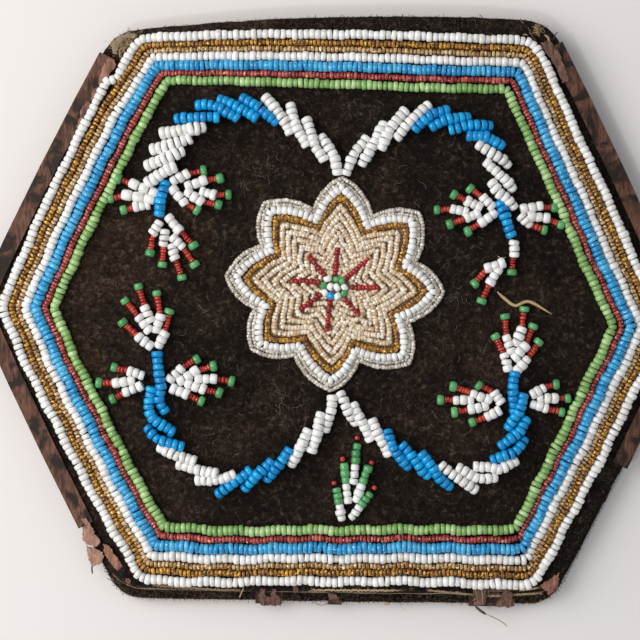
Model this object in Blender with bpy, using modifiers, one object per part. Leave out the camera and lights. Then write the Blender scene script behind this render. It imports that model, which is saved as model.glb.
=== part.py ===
"""Flat beaded bag: a six-sided pouch of two velvet panels and two cotton linings.

The bag lies on its back panel with the mouth towards +Y and the beadwork up (+Z).
Layout points were measured on the photograph and are written in its pixels,
x to the right and y down.  at() turns one into metres.  Lengths are in metres.
"""
import math

import bmesh
import bpy
from mathutils import Vector

for old in list(bpy.data.objects):
    bpy.data.objects.remove(old, do_unlink=True)

# Scale and origin
MM = 0.001
PX = 0.25 * MM                  # one photograph pixel
MIDDLE = (334.04, 312.7)        # pixel above the origin

# Cloth
VELVET = 1.0 * MM
LINING = 0.4 * MM
RIBBON = 0.35 * MM
GAP = 0.3 * MM                  # air between neighbouring layers
RIM_LIFT = 2.0 * MM             # height of the sewn rim above the floor
POCKET = 6.0 * MM               # room between the two linings in the middle
CROWN_WIDTH = 18.0 * MM         # how fast the panels part, going in from the seam
CROWN_FLAT = 1.06               # above 1 the middle of the panels is truly flat
MOUTH_CLOSING = 0.2             # share of the pocket's room lost at the mouth
MOUTH_LENGTH = 28.0 * MM
FRONT_SETBACK = 12.0            # px, the front ends short of the back at the bottom
LINING_SETBACK = 2.0            # px, the lining ends short of its panel
CORNER_ROUND = 6.0 * MM
RING_SHARES = (1.0, 0.945, 0.86, 0.74, 0.57)
SIDE_SAMPLES = (0.25, 0.5, 0.75)

# Ribbon binding, and where its remnants hang on the bottom edge (px, left and right)
RIBBON_REACH = 3.2 * MM
RIBBON_AIR = 0.55 * MM          # air between the ribbon and both panels that it binds
REMNANT_REACH = 2.3 * MM
REMNANTS = ((255, 282), (328, 342), (470, 516))

# Beads, as radii of the strung rows
SEAT = 0.4 * MM                 # air between the velvet and the beads
LARGE = 1.0 * MM
LANE = 0.95 * MM
SMALL = 0.58 * MM
RED_STRING = 0.75 * MM
STAR_ROW = 0.42 * MM
STAR_FILL = 0.33 * MM
TIP = 1.15 * MM                 # green bead that ends a string
SPINE = 0.45 * MM               # stitching that ties a group of strings together
NECK_START = 0.18               # the thin red neck, as shares of the way to the tip
NECK_END = 0.78

# Corners in the order top left, top right, right, bottom right, bottom left, left
BACK_CORNERS = ((114, 32), (549, 21), (692, 327), (552, 606), (119, 600), (-24, 306))
BACK_BOWS = (9, 3, 3, 1, 3, 3)
ROW_OUTER = ((130, 38), (530, 41), (664, 327), (535, 583), (140, 580), (0, 306))
ROW_INNER = ((167, 80), (505.6, 90.3), (611.5, 327), (516.3, 527), (162.3, 527), (53, 307))
ROW_BOWS_OUTER = (4.3, 3, 3, 0, 3, 3)
ROW_BOWS_INNER = (0, 1.5, 1.5, 3, 1.5, 1.5)
ROW_ROUND = 3.0 * MM

# Border rows: name, share of the way from the outer to the inner corners, radius, colour
BORDER = (
    ("border_white_outer", 0.000, LARGE, (0.86, 0.84, 0.80)),
    ("border_amber_outer", 0.172, SMALL, (0.55, 0.30, 0.06)),
    ("border_amber_inner", 0.302, SMALL, (0.55, 0.30, 0.06)),
    ("border_white_inner", 0.450, 0.85 * MM, (0.86, 0.84, 0.80)),
    ("border_blue", 0.640, LARGE, (0.03, 0.25, 0.52)),
    ("border_red", 0.820, SMALL, (0.28, 0.02, 0.03)),
    ("border_green", 1.000, LARGE, (0.22, 0.50, 0.15)),
)

# Star: eight petal tips and the eight notches after them, as (radius px, degrees)
STAR_MIDDLE = (335, 287.6)
STAR_TIPS = ((111.4, 86.1), (111.5, 130.0), (110.4, 174.1), (104.7, 216.3),
             (104.5, 267.8), (107.5, 314.7), (109.7, 357.4), (113.6, 401.1))
STAR_NOTCHES = ((77.4, 105.4), (81.5, 150.1), (79.8, 194.3), (75.5, 239.0),
                (73.2, 287.9), (77.0, 334.8), (81.2, 377.4), (76.8, 422.2))
PETAL_BOW = 0.13                # bulge of a petal side as a share of its length

# Star rows: name, inset at the tips, inset at the notches, radius, colour
CLEAR = (0.62, 0.60, 0.55)
BLUSH = (0.60, 0.47, 0.36)
STAR_ROWS = (
    ("star_clear", 0.0, 0.0, STAR_ROW, CLEAR),
    ("star_white", 9.5, 9.0, STAR_ROW, (0.86, 0.84, 0.80)),
    ("star_amber", 20.0, 17.0, STAR_ROW, (0.55, 0.32, 0.10)),
    ("star_fill_1", 29.5, 24.0, STAR_FILL, BLUSH),
    ("star_fill_2", 39.0, 30.0, STAR_FILL, BLUSH),
    ("star_fill_3", 48.5, 35.8, STAR_FILL, BLUSH),
    ("star_fill_4", 59.0, 42.0, STAR_FILL, BLUSH),
)
RAY_OUTER = 36.0                # px
RAY_INNER = 15.0
RAY_RING = 19.0                 # stitched ring through the inner ends of the rays
HEART_RADIUS = 2.3 * MM
HEART_HEIGHT = 1.7 * MM

WHITE = (0.86, 0.84, 0.80)
BLUE = (0.01, 0.24, 0.62)
GREEN_TIP = (0.10, 0.45, 0.15)

# Sprays: each lane is a string of beads, given by the pixels it runs through
SPRAY_RUNS = (
    ("upper_left_near", WHITE, (
        ((267.3, 99.6), (289.1, 133.3)),
        ((291.2, 108), (305.9, 145.2)),
        ((307.3, 122), (322.5, 160.5)),
        ((323.5, 138.2), (334.5, 169.5)))),
    ("upper_left_middle", BLUE, (
        ((243, 97.5), (270, 119)),
        ((222.4, 99.6), (255.4, 119.3)),
        ((200.6, 105.2), (235.8, 119.3)),
        ((178.2, 117.3), (216, 116)))),
    ("upper_left_far", WHITE, (
        ((203, 129), (170, 136.5)),
        ((190, 140), (160, 152)),
        ((182, 152.5), (155, 168)),
        ((171, 163.5), (152, 180.5)))),
    ("upper_right_near", WHITE, (
        ((367, 138.9), (347.5, 172)),
        ((382.4, 126.3), (362, 164.2)),
        ((403.5, 112.3), (381, 148.7)),
        ((426, 105.6), (397.5, 137)))),
    ("upper_right_middle", BLUE, (
        ((447.5, 109), (417, 129.5)),
        ((467.4, 116.3), (434, 128.6)),
        ((488.8, 125.5), (452, 132.4)),
        ((502, 142), (469, 134)))),
    ("upper_right_far", WHITE, (
        ((478, 148.5), (491, 155.5), (505, 169)),
        ((486.4, 164), (508.5, 190.5)),
        ((492.4, 184), (505, 196), (512.5, 208)))),
    ("lower_left_near", WHITE, (
        ((332.3, 397), (325.5, 429.1)),
        ((320.2, 414.5), (311, 449.7)),
        ((307, 431.4), (292.5, 462)))),
    ("lower_left_middle", BLUE, (
        ((288, 449.7), (267, 478)),
        ((269.5, 460.5), (245, 488)),
        ((248, 471), (220, 493)))),
    ("lower_left_far", WHITE, (
        ((160, 450), (194, 461)),
        ((178.5, 466), (214, 472.5)),
        ((199, 480.5), (213, 482), (232, 472)))),
    ("upper_left_stem", BLUE, (
        ((165.8, 185), (162, 199), (160.3, 214)),)),
    ("upper_right_stem", BLUE, (
        ((499.5, 205), (504.5, 219), (510, 235)),)),
    ("lower_left_stem", BLUE, (
        ((155, 355), (158.5, 372), (160.5, 398), (166, 412)),
        ((150.5, 381), (152, 395), (150, 407), (154, 418.5), (173, 432)),
        ((150, 428.5), (158, 437.5), (182, 446)))),
    ("lower_right_near", WHITE, (
        ((341, 394), (354.6, 421.4)),
        ((353.8, 405.4), (369.9, 437.5)),
        ((372.2, 420.7), (387, 450)))),
    ("lower_right_middle", BLUE, (
        ((388.5, 431.4), (411, 464.3)),
        ((404, 446), (429, 473.5)),
        ((422.5, 452.8), (449, 484.5)))),
    ("lower_right_far", WHITE, (
        ((446.5, 466.5), (473, 486)),
        ((458.6, 468.2), (478, 477.5), (492, 477)),
        ((475, 465.6), (492, 468.5), (513.5, 463)))),
    ("lower_right_stem", BLUE, (
        ((511.5, 379), (510, 402), (513.5, 414), (506, 427)),
        ((521, 396), (522.5, 419), (500.5, 444)),
        ((523.5, 431), (514, 448), (493, 456.5)))),
)

# Fans: each string has three white beads, three small red ones and a green tip,
# given by its first white bead, its last white bead and the tip
SPRAY_FANS = (
    ("upper_left_fan_left", (
        ((155, 193.5), (135, 185), (119.3, 179.6)),
        ((150.5, 199.5), (128, 195.5), (111.5, 199.2)),
        ((148.5, 205.5), (137, 207.5), (124.5, 211)))),
    ("upper_left_fan_right", (
        ((175, 181.5), (186.8, 174.6), (204.2, 171.5)),
        ((189.3, 186.2), (204.2, 181.5), (220.5, 179)),
        ((203, 192), (214.1, 195.3), (229, 195.3)),
        ((189.3, 193.5), (201, 201.5), (219, 205.6)),
        ((174.5, 190.5), (184.3, 202.8), (198, 210.5)))),
    ("upper_left_fan_low", (
        ((170, 219), (179.3, 230), (194.2, 246)),
        ((174.3, 238.2), (182.6, 246.5), (195, 264.8)),
        ((172.5, 247.3), (175.5, 258), (182.5, 277.6)),
        ((166, 233), (164.4, 244), (163, 264.9)),
        ((160, 224), (154.4, 233), (151, 253.3)))),
    ("upper_right_fan_left", (
        ((478.4, 207.8), (467.2, 201.8), (453.5, 195)),
        ((491, 207), (482.7, 198.4), (469.7, 189)),
        ((464.6, 212.1), (452.6, 209.6), (436.5, 210.4)),
        ((476.7, 213.9), (466.3, 218.2), (449.2, 224.8)),
        ((493, 214.5), (481.4, 222.5), (467, 231.5)))),
    ("upper_right_fan_right", (
        ((523, 209.6), (538.7, 207), (553.8, 208.2)),
        ((530, 217), (545.6, 218.2), (560, 225.3)),
        ((520.4, 217.5), (528, 224.5), (543.4, 230.5)))),
    ("upper_right_fan_low", (
        ((513, 243.5), (512.9, 254.8), (510.8, 272.5)),
        ((501, 263.5), (487.2, 268.1), (473.7, 283.6)),
        ((497, 270.6), (489.7, 282.2), (480.9, 301)))),
    ("lower_left_fan_top", (
        ((151.5, 319.8), (146.1, 308.2), (139.2, 286.8)),
        ((156.9, 329.7), (161.5, 317), (157.5, 293.4)),
        ((149.5, 329.7), (140.3, 318.1), (126, 300.7)),
        ((159.7, 345), (165.2, 334), (170.2, 311.5)),
        ((150.8, 345.5), (140.3, 337.2), (123.6, 322.4)))),
    ("lower_left_fan_left", (
        ((142.5, 375), (131.2, 371.2), (115, 367.3)),
        ((132, 380.3), (117.1, 382.8), (99.8, 382.4)),
        ((140.5, 386), (127.1, 391.9), (113.4, 398.5)))),
    ("lower_left_fan_right", (
        ((171.5, 378.5), (181, 368.7), (197.4, 359)),
        ((181.8, 380.3), (195.9, 371.2), (214.1, 365.9)),
        ((199.2, 378.6), (214.1, 378.6), (232.1, 381.2)),
        ((189.3, 383.6), (203.4, 388.6), (219.9, 392.8)),
        ((174, 388.5), (186.8, 393.6), (202, 401.1)))),
    ("lower_right_fan_top", (
        ((510.4, 350.6), (505.5, 338.2), (504.4, 316.5)),
        ((515.5, 342.3), (520.4, 329.9), (523.4, 309.3)),
        ((514.6, 357.2), (523.7, 346.5), (532.4, 326.5)),
        ((516.2, 369.5), (525.4, 359.7), (537.8, 342)),
        ((507, 368), (503.8, 355.6), (494.8, 336.4)))),
    ("lower_right_fan_left", (
        ((499.5, 401.5), (493.8, 392.9), (478.4, 384.8)),
        ((487.2, 399.0), (473.1, 393.7), (452.6, 386.2)),
        ((469.5, 400.0), (455.7, 399.7), (440, 399.3)),
        ((484, 405.6), (470.6, 408.9), (453.8, 411.5)),
        ((497.5, 410.5), (487.2, 416.1), (471.7, 422)))),
    ("lower_right_fan_right", (
        ((532, 393.5), (541.9, 387.9), (555.3, 384)),
        ((539.5, 397.9), (553.5, 397.9), (567, 398)),
        ((532.5, 404), (544.4, 407.8), (561, 412)))),
)

# Small plant at the bottom: first white bead, last green bead, red tip
PLANT = (
    ((353.5, 480.4), (356.6, 446), (356.9, 437.5)),
    ((347.7, 499.5), (344.2, 466), (342.4, 458.6)),
    ((356.4, 498), (367.6, 468), (371.2, 462)),
    ((341.5, 517), (337, 489.5), (333.9, 482.5)),
    ((352, 516), (369.1, 494), (374, 487)),
)

COLLECTION = "beaded_bag"
CUTTERS = "beaded_bag_cutters"

parts = bpy.data.collections.new(COLLECTION)
bpy.context.scene.collection.children.link(parts)
cutters = bpy.data.collections.new(CUTTERS)
bpy.context.scene.collection.children.link(cutters)
bag = bpy.data.objects.new(COLLECTION, None)
parts.objects.link(bag)


def at(pixel):
    """Photograph pixel to metres on the plan of the bag."""
    return Vector(((pixel[0] - MIDDLE[0]) * PX, (MIDDLE[1] - pixel[1]) * PX))


def material(name, colour, roughness):
    made = bpy.data.materials.new(name)
    made.use_nodes = True
    shader = made.node_tree.nodes["Principled BSDF"]
    shader.inputs["Base Color"].default_value = (*colour, 1.0)
    shader.inputs["Roughness"].default_value = roughness
    made.diffuse_color = (*colour, 1.0)
    return made


def finish(body, name, colour, roughness=0.3, smooth=True):
    """Name a body, give it its own material and file it with the parts."""
    body.name = name
    body.data.name = name
    body.data.materials.clear()
    body.data.materials.append(material(name, colour, roughness))
    for face in body.data.polygons:
        face.use_smooth = smooth
    for home in list(body.users_collection):
        home.objects.unlink(body)
    parts.objects.link(body)
    body.parent = bag
    return body


def body_from(bm, name):
    """Weld a bmesh, turn its faces out and make it an object."""
    bmesh.ops.remove_doubles(bm, verts=bm.verts, dist=0.00002)
    bmesh.ops.recalc_face_normals(bm, faces=bm.faces)
    mesh = bpy.data.meshes.new(name)
    bm.to_mesh(mesh)
    bm.free()
    body = bpy.data.objects.new(name, mesh)
    cutters.objects.link(body)
    return body


# Plan: bowed, rounded six-sided outlines
def bowed(start, end, bow, share):
    """Point on a side that bulges to the left of its direction by bow pixels."""
    run = end - start
    left = Vector((-run.y, run.x)).normalized()
    return start + run * share + left * (4 * bow * PX * share * (1 - share))


def hexagon(corners, bows, rounding, samples=SIDE_SAMPLES):
    """Closed outline as points, with every corner rounded by three points."""
    marks = [at(corner) for corner in corners]
    outline = []
    for index, corner in enumerate(marks):
        before = marks[index - 1]
        after = marks[(index + 1) % len(marks)]
        share_in = 1 - rounding / (corner - before).length
        share_out = rounding / (after - corner).length
        entry = bowed(before, corner, bows[index - 1], share_in)
        leave = bowed(corner, after, bows[index], share_out)
        turn = entry * 0.25 + corner * 0.5 + leave * 0.25
        outline += [entry, turn, leave]
        outline += [bowed(corner, after, bows[index], share) for share in samples]
    return outline


def blended(first, second, share):
    return [tuple(Vector(a).lerp(Vector(b), share)) for a, b in zip(first, second)]


def raised(corners, bottom_by, all_by):
    """Corners with the bottom side moved up, and all drawn in, by pixels."""
    middle = Vector(MIDDLE)
    moved = []
    for index, corner in enumerate(corners):
        point = Vector(corner)
        point += (middle - point).normalized() * all_by
        if index in (3, 4):
            point.y -= bottom_by
        moved.append(tuple(point))
    return moved


FRONT_CORNERS = raised(BACK_CORNERS, FRONT_SETBACK, 0)
LINING_CORNERS = raised(BACK_CORNERS, FRONT_SETBACK, LINING_SETBACK)
SEWN_SIDES = [(at(BACK_CORNERS[k]), at(BACK_CORNERS[(k + 1) % 6])) for k in (1, 2, 3, 4, 5)]
ROW_SIDES = [(at(ROW_INNER[k]), at(ROW_INNER[(k + 1) % 6])) for k in range(6)]
MOUTH_Y = at(BACK_CORNERS[0]).y


# Heights of the layers
def inside_of(point, start, end):
    """How far a point lies to the right of the line from start to end."""
    run = end - start
    away = point - start
    return (run.y * away.x - run.x * away.y) / run.length


def crown(x, y):
    """Nought along the sewn sides and one over the middle of the bag."""
    height = CROWN_FLAT
    for start, end in SEWN_SIDES:
        inside = inside_of(Vector((x, y)), start, end)
        height *= math.tanh(max(inside, 0.0) / CROWN_WIDTH)
    return min(height, 1.0)


def pocket(x, y):
    near = min(max((y - MOUTH_Y + MOUTH_LENGTH) / MOUTH_LENGTH, 0.0), 1.0)
    closing = MOUTH_CLOSING * near * near * (3 - 2 * near)
    return POCKET * crown(x, y) * (1 - closing)


def back_under(x, y):
    return RIM_LIFT * (1 - crown(x, y))


def back_top(x, y):
    return back_under(x, y) + VELVET


def back_lining_under(x, y):
    return back_top(x, y) + GAP


def front_lining_under(x, y):
    return back_lining_under(x, y) + LINING + GAP + pocket(x, y)


def front_under(x, y):
    return front_lining_under(x, y) + LINING + GAP


def front_top(x, y):
    return front_under(x, y) + VELVET


def thickened(bm, name, thickness):
    """Object from an open surface, made solid on the side its first face looks up to."""
    bm.normal_update()
    bm.faces.ensure_lookup_table()
    if bm.faces[0].normal.z < 0:
        bmesh.ops.reverse_faces(bm, faces=bm.faces)
    mesh = bpy.data.meshes.new(name)
    bm.to_mesh(mesh)
    bm.free()
    body = bpy.data.objects.new(name, mesh)
    cutters.objects.link(body)
    solid = body.modifiers.new("thickness", "SOLIDIFY")
    solid.thickness = thickness
    solid.offset = 1.0
    solid.use_even_offset = True
    return body


def sheet(name, corners, under, thickness, colour, roughness):
    """Cloth sheet: rings drawn in from the outline, set to height and thickened."""
    outline = hexagon(corners, BACK_BOWS, CORNER_ROUND)
    bm = bmesh.new()
    rim = [bm.verts.new((point.x, point.y, 0.0)) for point in outline]
    edges = [bm.edges.new((rim[k - 1], rim[k])) for k in range(len(rim))]
    for wide, narrow in zip(RING_SHARES, RING_SHARES[1:]):
        grown = bmesh.ops.extrude_edge_only(bm, edges=edges)["geom"]
        ring = {item for item in grown if isinstance(item, bmesh.types.BMVert)}
        edges = [item for item in grown
                 if isinstance(item, bmesh.types.BMEdge) and ring.issuperset(item.verts)]
        bmesh.ops.scale(bm, vec=(narrow / wide,) * 3, verts=list(ring))
    bmesh.ops.contextual_create(bm, geom=edges)
    bmesh.ops.recalc_face_normals(bm, faces=bm.faces)
    for vertex in bm.verts:
        vertex.co.z = under(vertex.co.x, vertex.co.y)
    return finish(thickened(bm, name, thickness), name, colour, roughness)


def strip(name, path, reach, air, under, top, colour):
    """Ribbon folded over the rim of the layers between under() and top(), with air inside."""
    bm = bmesh.new()
    cloth = bmesh.ops.create_grid(bm, x_segments=len(path) - 1, y_segments=3, size=1.0)
    for index, vertex in enumerate(cloth["verts"]):
        fold, station = divmod(index, len(path))
        point = path[station]
        before = path[max(station - 1, 0)]
        after = path[min(station + 1, len(path) - 1)]
        run = (after - before).normalized()
        outward = Vector((-run.y, run.x))
        at_hem = fold in (0, 3)
        covered = point - outward * reach if at_hem else point
        place = covered if at_hem else point + outward * air
        height = top(*covered) + air if fold < 2 else under(*covered) - air
        vertex.co = (place.x, place.y, height)
    return finish(thickened(bm, name, RIBBON), name, colour, 0.6, smooth=False)


# Beads: rows and strings as tubes that lie on the front panel
def seated(point, radius):
    return Vector((point.x, point.y, front_top(point.x, point.y) + SEAT + radius))


def tube(points, radii, resolution, cyclic=False):
    """Tube through seated plan points, each with its own radius, as a mesh object."""
    curve = bpy.data.curves.new("string", "CURVE")
    curve.dimensions = "3D"
    curve.bevel_depth = 1.0
    curve.bevel_resolution = resolution
    curve.use_fill_caps = not cyclic
    spline = curve.splines.new("POLY")
    spline.points.add(len(points) - 1)
    spline.use_cyclic_u = cyclic
    for control, point, radius in zip(spline.points, points, radii):
        control.co = (*seated(point, radius), 1.0)
        control.radius = radius
    holder = bpy.data.objects.new("string", curve)
    cutters.objects.link(holder)
    bpy.context.view_layer.update()
    seen = holder.evaluated_get(bpy.context.evaluated_depsgraph_get())
    mesh = bpy.data.meshes.new_from_object(seen)
    place = holder.matrix_world.copy()
    bpy.data.objects.remove(holder, do_unlink=True)
    bm = bmesh.new()
    bm.from_mesh(mesh)
    bm.transform(place)
    return body_from(bm, "string")


def joined(bodies):
    """One body from several that cross."""
    base = bodies[0]
    for other in bodies[1:]:
        union = base.modifiers.new("union", "BOOLEAN")
        union.operation = "UNION"
        union.solver = "EXACT"
        union.object = other
        bpy.context.view_layer.update()
        seen = base.evaluated_get(bpy.context.evaluated_depsgraph_get())
        merged = bpy.data.meshes.new_from_object(seen)
        base.modifiers.remove(union)
        base.data = merged
        bpy.data.objects.remove(other, do_unlink=True)
    return base


def spine(points):
    """Thin straight stitches from each point to the next, a little past both."""
    stitches = []
    for start, end in zip(points, points[1:]):
        past = (end - start).normalized() * SPINE * 0.5
        stitches.append(tube([start - past, end + past], [SPINE] * 2, 0))
    return stitches


def bead_row(name, corners, bows, radius, colour):
    outline = hexagon(corners, bows, ROW_ROUND)
    sides = 1 if radius > SMALL else 0
    row = tube(outline, [radius] * len(outline), sides, cyclic=True)
    return finish(row, name, colour)


def polar(radius, degrees):
    """Point of the star at a radius in pixels and an angle from +X."""
    angle = math.radians(degrees)
    return at(STAR_MIDDLE) + Vector((math.cos(angle), math.sin(angle))) * radius * PX


def star_outline(tip_inset, notch_inset):
    """Eight bulging petals: tips, notches and the points half way between."""
    outline = []
    for index, (tip, notch) in enumerate(zip(STAR_TIPS, STAR_NOTCHES)):
        next_tip = STAR_TIPS[(index + 1) % len(STAR_TIPS)]
        top = polar(tip[0] - tip_inset, tip[1])
        valley = polar(notch[0] - notch_inset, notch[1])
        crest = polar(next_tip[0] - tip_inset, next_tip[1])
        for start, end in ((top, valley), (valley, crest)):
            run = end - start
            right = Vector((run.y, -run.x))
            outline += [start, (start + end) / 2 + right * PETAL_BOW]
    return outline


def run_of_lanes(name, colour, lanes):
    strings = []
    for lane in lanes:
        points = [at(pixel) for pixel in lane]
        strings.append(tube(points, [LANE] * len(points), 1))
    if len(lanes) > 1:
        middles = [at(lane[len(lane) // 2]).lerp(at(lane[(len(lane) - 1) // 2]), 0.5)
                   for lane in lanes]
        strings += spine(middles)
    return finish(joined(strings), name, colour)


def kept_inside(root, end, tip):
    """Shorten a string whose tip would meet the innermost border row."""
    room = LARGE + TIP + GAP
    share = 1.0
    for start, stop in ROW_SIDES:
        root_room = inside_of(root, start, stop) - room
        tip_room = inside_of(tip, start, stop) - room
        if tip_room < 0:
            share = min(share, root_room / (root_room - tip_room))
    return root.lerp(end, share), root.lerp(tip, share)


def fan(name, fingers):
    """Strings of white beads with thin red necks and round green tips."""
    strings = []
    for first, last, tip in fingers:
        start = at(first)
        end, crown_bead = kept_inside(start, at(last), at(tip))
        neck = crown_bead - end
        path = [start, end, end + neck * NECK_START, end + neck * NECK_END, crown_bead,
                crown_bead + neck.normalized() * TIP * 0.6]
        radii = [LANE, LANE, RED_STRING, RED_STRING, TIP, TIP * 0.6]
        strings.append(tube(path, radii, 0))
    roots = [at(finger[0]).lerp(at(finger[1]), 0.12) for finger in fingers]
    return finish(joined(strings + spine(roots)), name, WHITE)


def plant(name, fingers):
    strings = []
    for first, last, tip in fingers:
        start, end, point = at(first), at(last), at(tip)
        path = [start, end, end.lerp(point, 0.6), point]
        radii = [LANE, LANE, 0.6 * MM, 0.5 * MM]
        strings.append(tube(path, radii, 1))
    roots = [at(finger[0]) for finger in fingers]
    order = (roots[3], roots[1], roots[0], roots[2], roots[4])
    return finish(joined(strings + spine(order)), name, GREEN_TIP)


# Cloth layers
sheet("back_velvet", BACK_CORNERS, back_under, VELVET, (0.020, 0.014, 0.011), 0.95)
sheet("back_lining", LINING_CORNERS, back_lining_under, LINING, (0.55, 0.40, 0.25), 0.9)
sheet("front_lining", LINING_CORNERS, front_lining_under, LINING, (0.55, 0.40, 0.25), 0.9)
sheet("front_velvet", FRONT_CORNERS, front_under, VELVET, (0.020, 0.014, 0.011), 0.95)

# Ribbon binding: both side points, and remnants along the bottom
RIBBON_COLOUR = (0.26, 0.12, 0.08)
rim = hexagon(BACK_CORNERS, BACK_BOWS, CORNER_ROUND)
PER_SIDE = 3 + len(SIDE_SAMPLES)
right_path = rim[PER_SIDE + 2:3 * PER_SIDE - 1]
left_path = rim[5 * PER_SIDE - 3:] + rim[:1]
for side, path in (("right", right_path), ("left", left_path)):
    strip(f"ribbon_{side}", path, RIBBON_REACH, RIBBON_AIR, back_under, front_top, RIBBON_COLOUR)

bottom_right, bottom_left = at(BACK_CORNERS[3]), at(BACK_CORNERS[4])
for index, (left_pixel, right_pixel) in enumerate(REMNANTS, start=1):
    path = []
    for pixel in (right_pixel, (left_pixel + right_pixel) / 2, left_pixel):
        reached = (at((pixel, 0)).x - bottom_right.x) / (bottom_left.x - bottom_right.x)
        path.append(bowed(bottom_right, bottom_left, BACK_BOWS[3], reached))
    remnant = f"ribbon_remnant_{index}"
    strip(remnant, path, REMNANT_REACH, GAP, back_under, back_top, RIBBON_COLOUR)

# Beaded border
for row_name, share, radius, colour in BORDER:
    row_corners = blended(ROW_OUTER, ROW_INNER, share)
    row_bows = [a + (b - a) * share for a, b in zip(ROW_BOWS_OUTER, ROW_BOWS_INNER)]
    bead_row(row_name, row_corners, row_bows, radius, colour)

# Star
for row_name, tip_inset, notch_inset, radius, colour in STAR_ROWS:
    petals = star_outline(tip_inset, notch_inset)
    finish(tube(petals, [radius] * len(petals), 0, cyclic=True), row_name, colour)

rays = []
ring = []
for (tip_radius, tip_angle), (notch_radius, notch_angle) in zip(STAR_TIPS, STAR_NOTCHES):
    ray = [polar(RAY_INNER, tip_angle), polar(RAY_OUTER, tip_angle)]
    rays.append(tube(ray, [STAR_ROW, STAR_ROW], 0))
    ring.append(polar(RAY_RING, notch_angle))
rays.insert(0, tube(ring, [SPINE] * len(ring), 0, cyclic=True))
finish(joined(rays), "star_rays", (0.30, 0.01, 0.02))

bpy.ops.mesh.primitive_uv_sphere_add(segments=12, ring_count=6, radius=1.0)
heart = bpy.context.object
heart.location = seated(at(STAR_MIDDLE), HEART_HEIGHT / 2)
heart.scale = (HEART_RADIUS, HEART_RADIUS, HEART_HEIGHT / 2)
finish(heart, "star_heart", WHITE)

# Sprays and plant
for run_name, colour, lanes in SPRAY_RUNS:
    run_of_lanes(run_name, colour, lanes)
for fan_name, fingers in SPRAY_FANS:
    fan(fan_name, fingers)
plant("plant", PLANT)

for left in list(cutters.objects):
    left.hide_render = True
    left.display_type = "WIRE"
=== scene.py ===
"""Looks of the flat beaded bag: every bead, worn velvet, cotton, silk remnants and threads.

Layout points are pixels of the photograph, x to the right and y down, and at() turns
them into metres.  Lengths are in metres unless their comment says otherwise, and the
heights repeat the part's own rules.
"""
import math

import bpy
import numpy as np
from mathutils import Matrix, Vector
from mathutils.geometry import delaunay_2d_cdt


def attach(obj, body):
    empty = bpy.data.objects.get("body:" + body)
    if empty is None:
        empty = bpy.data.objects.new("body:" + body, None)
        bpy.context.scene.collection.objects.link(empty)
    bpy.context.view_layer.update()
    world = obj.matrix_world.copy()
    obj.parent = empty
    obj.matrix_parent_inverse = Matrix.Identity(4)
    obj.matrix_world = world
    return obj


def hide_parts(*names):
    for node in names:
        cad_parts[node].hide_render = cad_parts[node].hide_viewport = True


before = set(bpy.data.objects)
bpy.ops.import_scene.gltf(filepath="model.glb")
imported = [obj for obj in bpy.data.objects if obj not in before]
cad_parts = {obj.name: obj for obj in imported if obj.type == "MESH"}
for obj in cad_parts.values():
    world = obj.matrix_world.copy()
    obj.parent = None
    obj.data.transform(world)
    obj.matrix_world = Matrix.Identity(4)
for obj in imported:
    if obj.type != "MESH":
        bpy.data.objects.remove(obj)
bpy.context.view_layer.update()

# Scale, and the part's own cloth sizes
MM = 0.001
PX = 0.25 * MM
MIDDLE = (334.04, 312.7)
VELVET = 1.0 * MM
LINING = 0.4 * MM
GAP = 0.3 * MM
RIM_LIFT = 2.0 * MM
POCKET = 6.0 * MM
CROWN_WIDTH = 18.0 * MM
CROWN_FLAT = 1.06
MOUTH_CLOSING = 0.2
MOUTH_LENGTH = 28.0 * MM
FRONT_SETBACK = 12.0
CORNER_ROUND = 6.0 * MM
BACK_CORNERS = ((114, 32), (549, 21), (692, 327), (552, 606), (119, 600), (-24, 306))
BACK_BOWS = (9, 3, 3, 1, 3, 3)

# Photograph's frame: 640 px over 160 mm, seen from straight above
FRAME_MIDDLE = (320, 320)
FRAME_WIDTH = 640
CAMERA_HEIGHT = 0.62
SENSOR = 36.0
SEEN_HEIGHT = 8.0 * MM           # height at which one pixel is exactly PX

# Border rows: corners of the outermost and innermost row, and how far their sides bulge
ROW_OUTER = ((130, 38), (530, 41), (664, 327), (535, 583), (140, 580), (0, 306))
ROW_INNER = ((167, 80), (505.6, 90.3), (611.5, 327), (516.3, 527), (162.3, 527), (53, 307))
ROW_BOWS_OUTER = (4.3, 3, 3, 0, 3, 3)
ROW_BOWS_INNER = (0, 1.5, 1.5, 3, 1.5, 1.5)
ROW_ROUND = 3.2 * MM             # corner of the outermost row
ROW_SHARP = 0.4 * MM             # corner of the innermost row
ROW_STEPS = 160                  # points on each side of a row's outline
ROW_WANDER = 0.23 * MM
WANDER_SEED = 10
WANDER_WAVES = (7, 13, 23, 41)   # waves in a row's whole length
WANDER_PHASE = 6.3
WANDER_EVENED = 1.6
LOOSER = 1.1                    # wander at the bag's middle, as a share of its amount
WANDER_DOWN = 0.115              # metres down the bag over which the rows grow looser
FULLER = 1.05                    # size of the row beads at the bag's middle
FULLER_DOWN = 0.7                # share by which the row beads grow with each metre down
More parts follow.
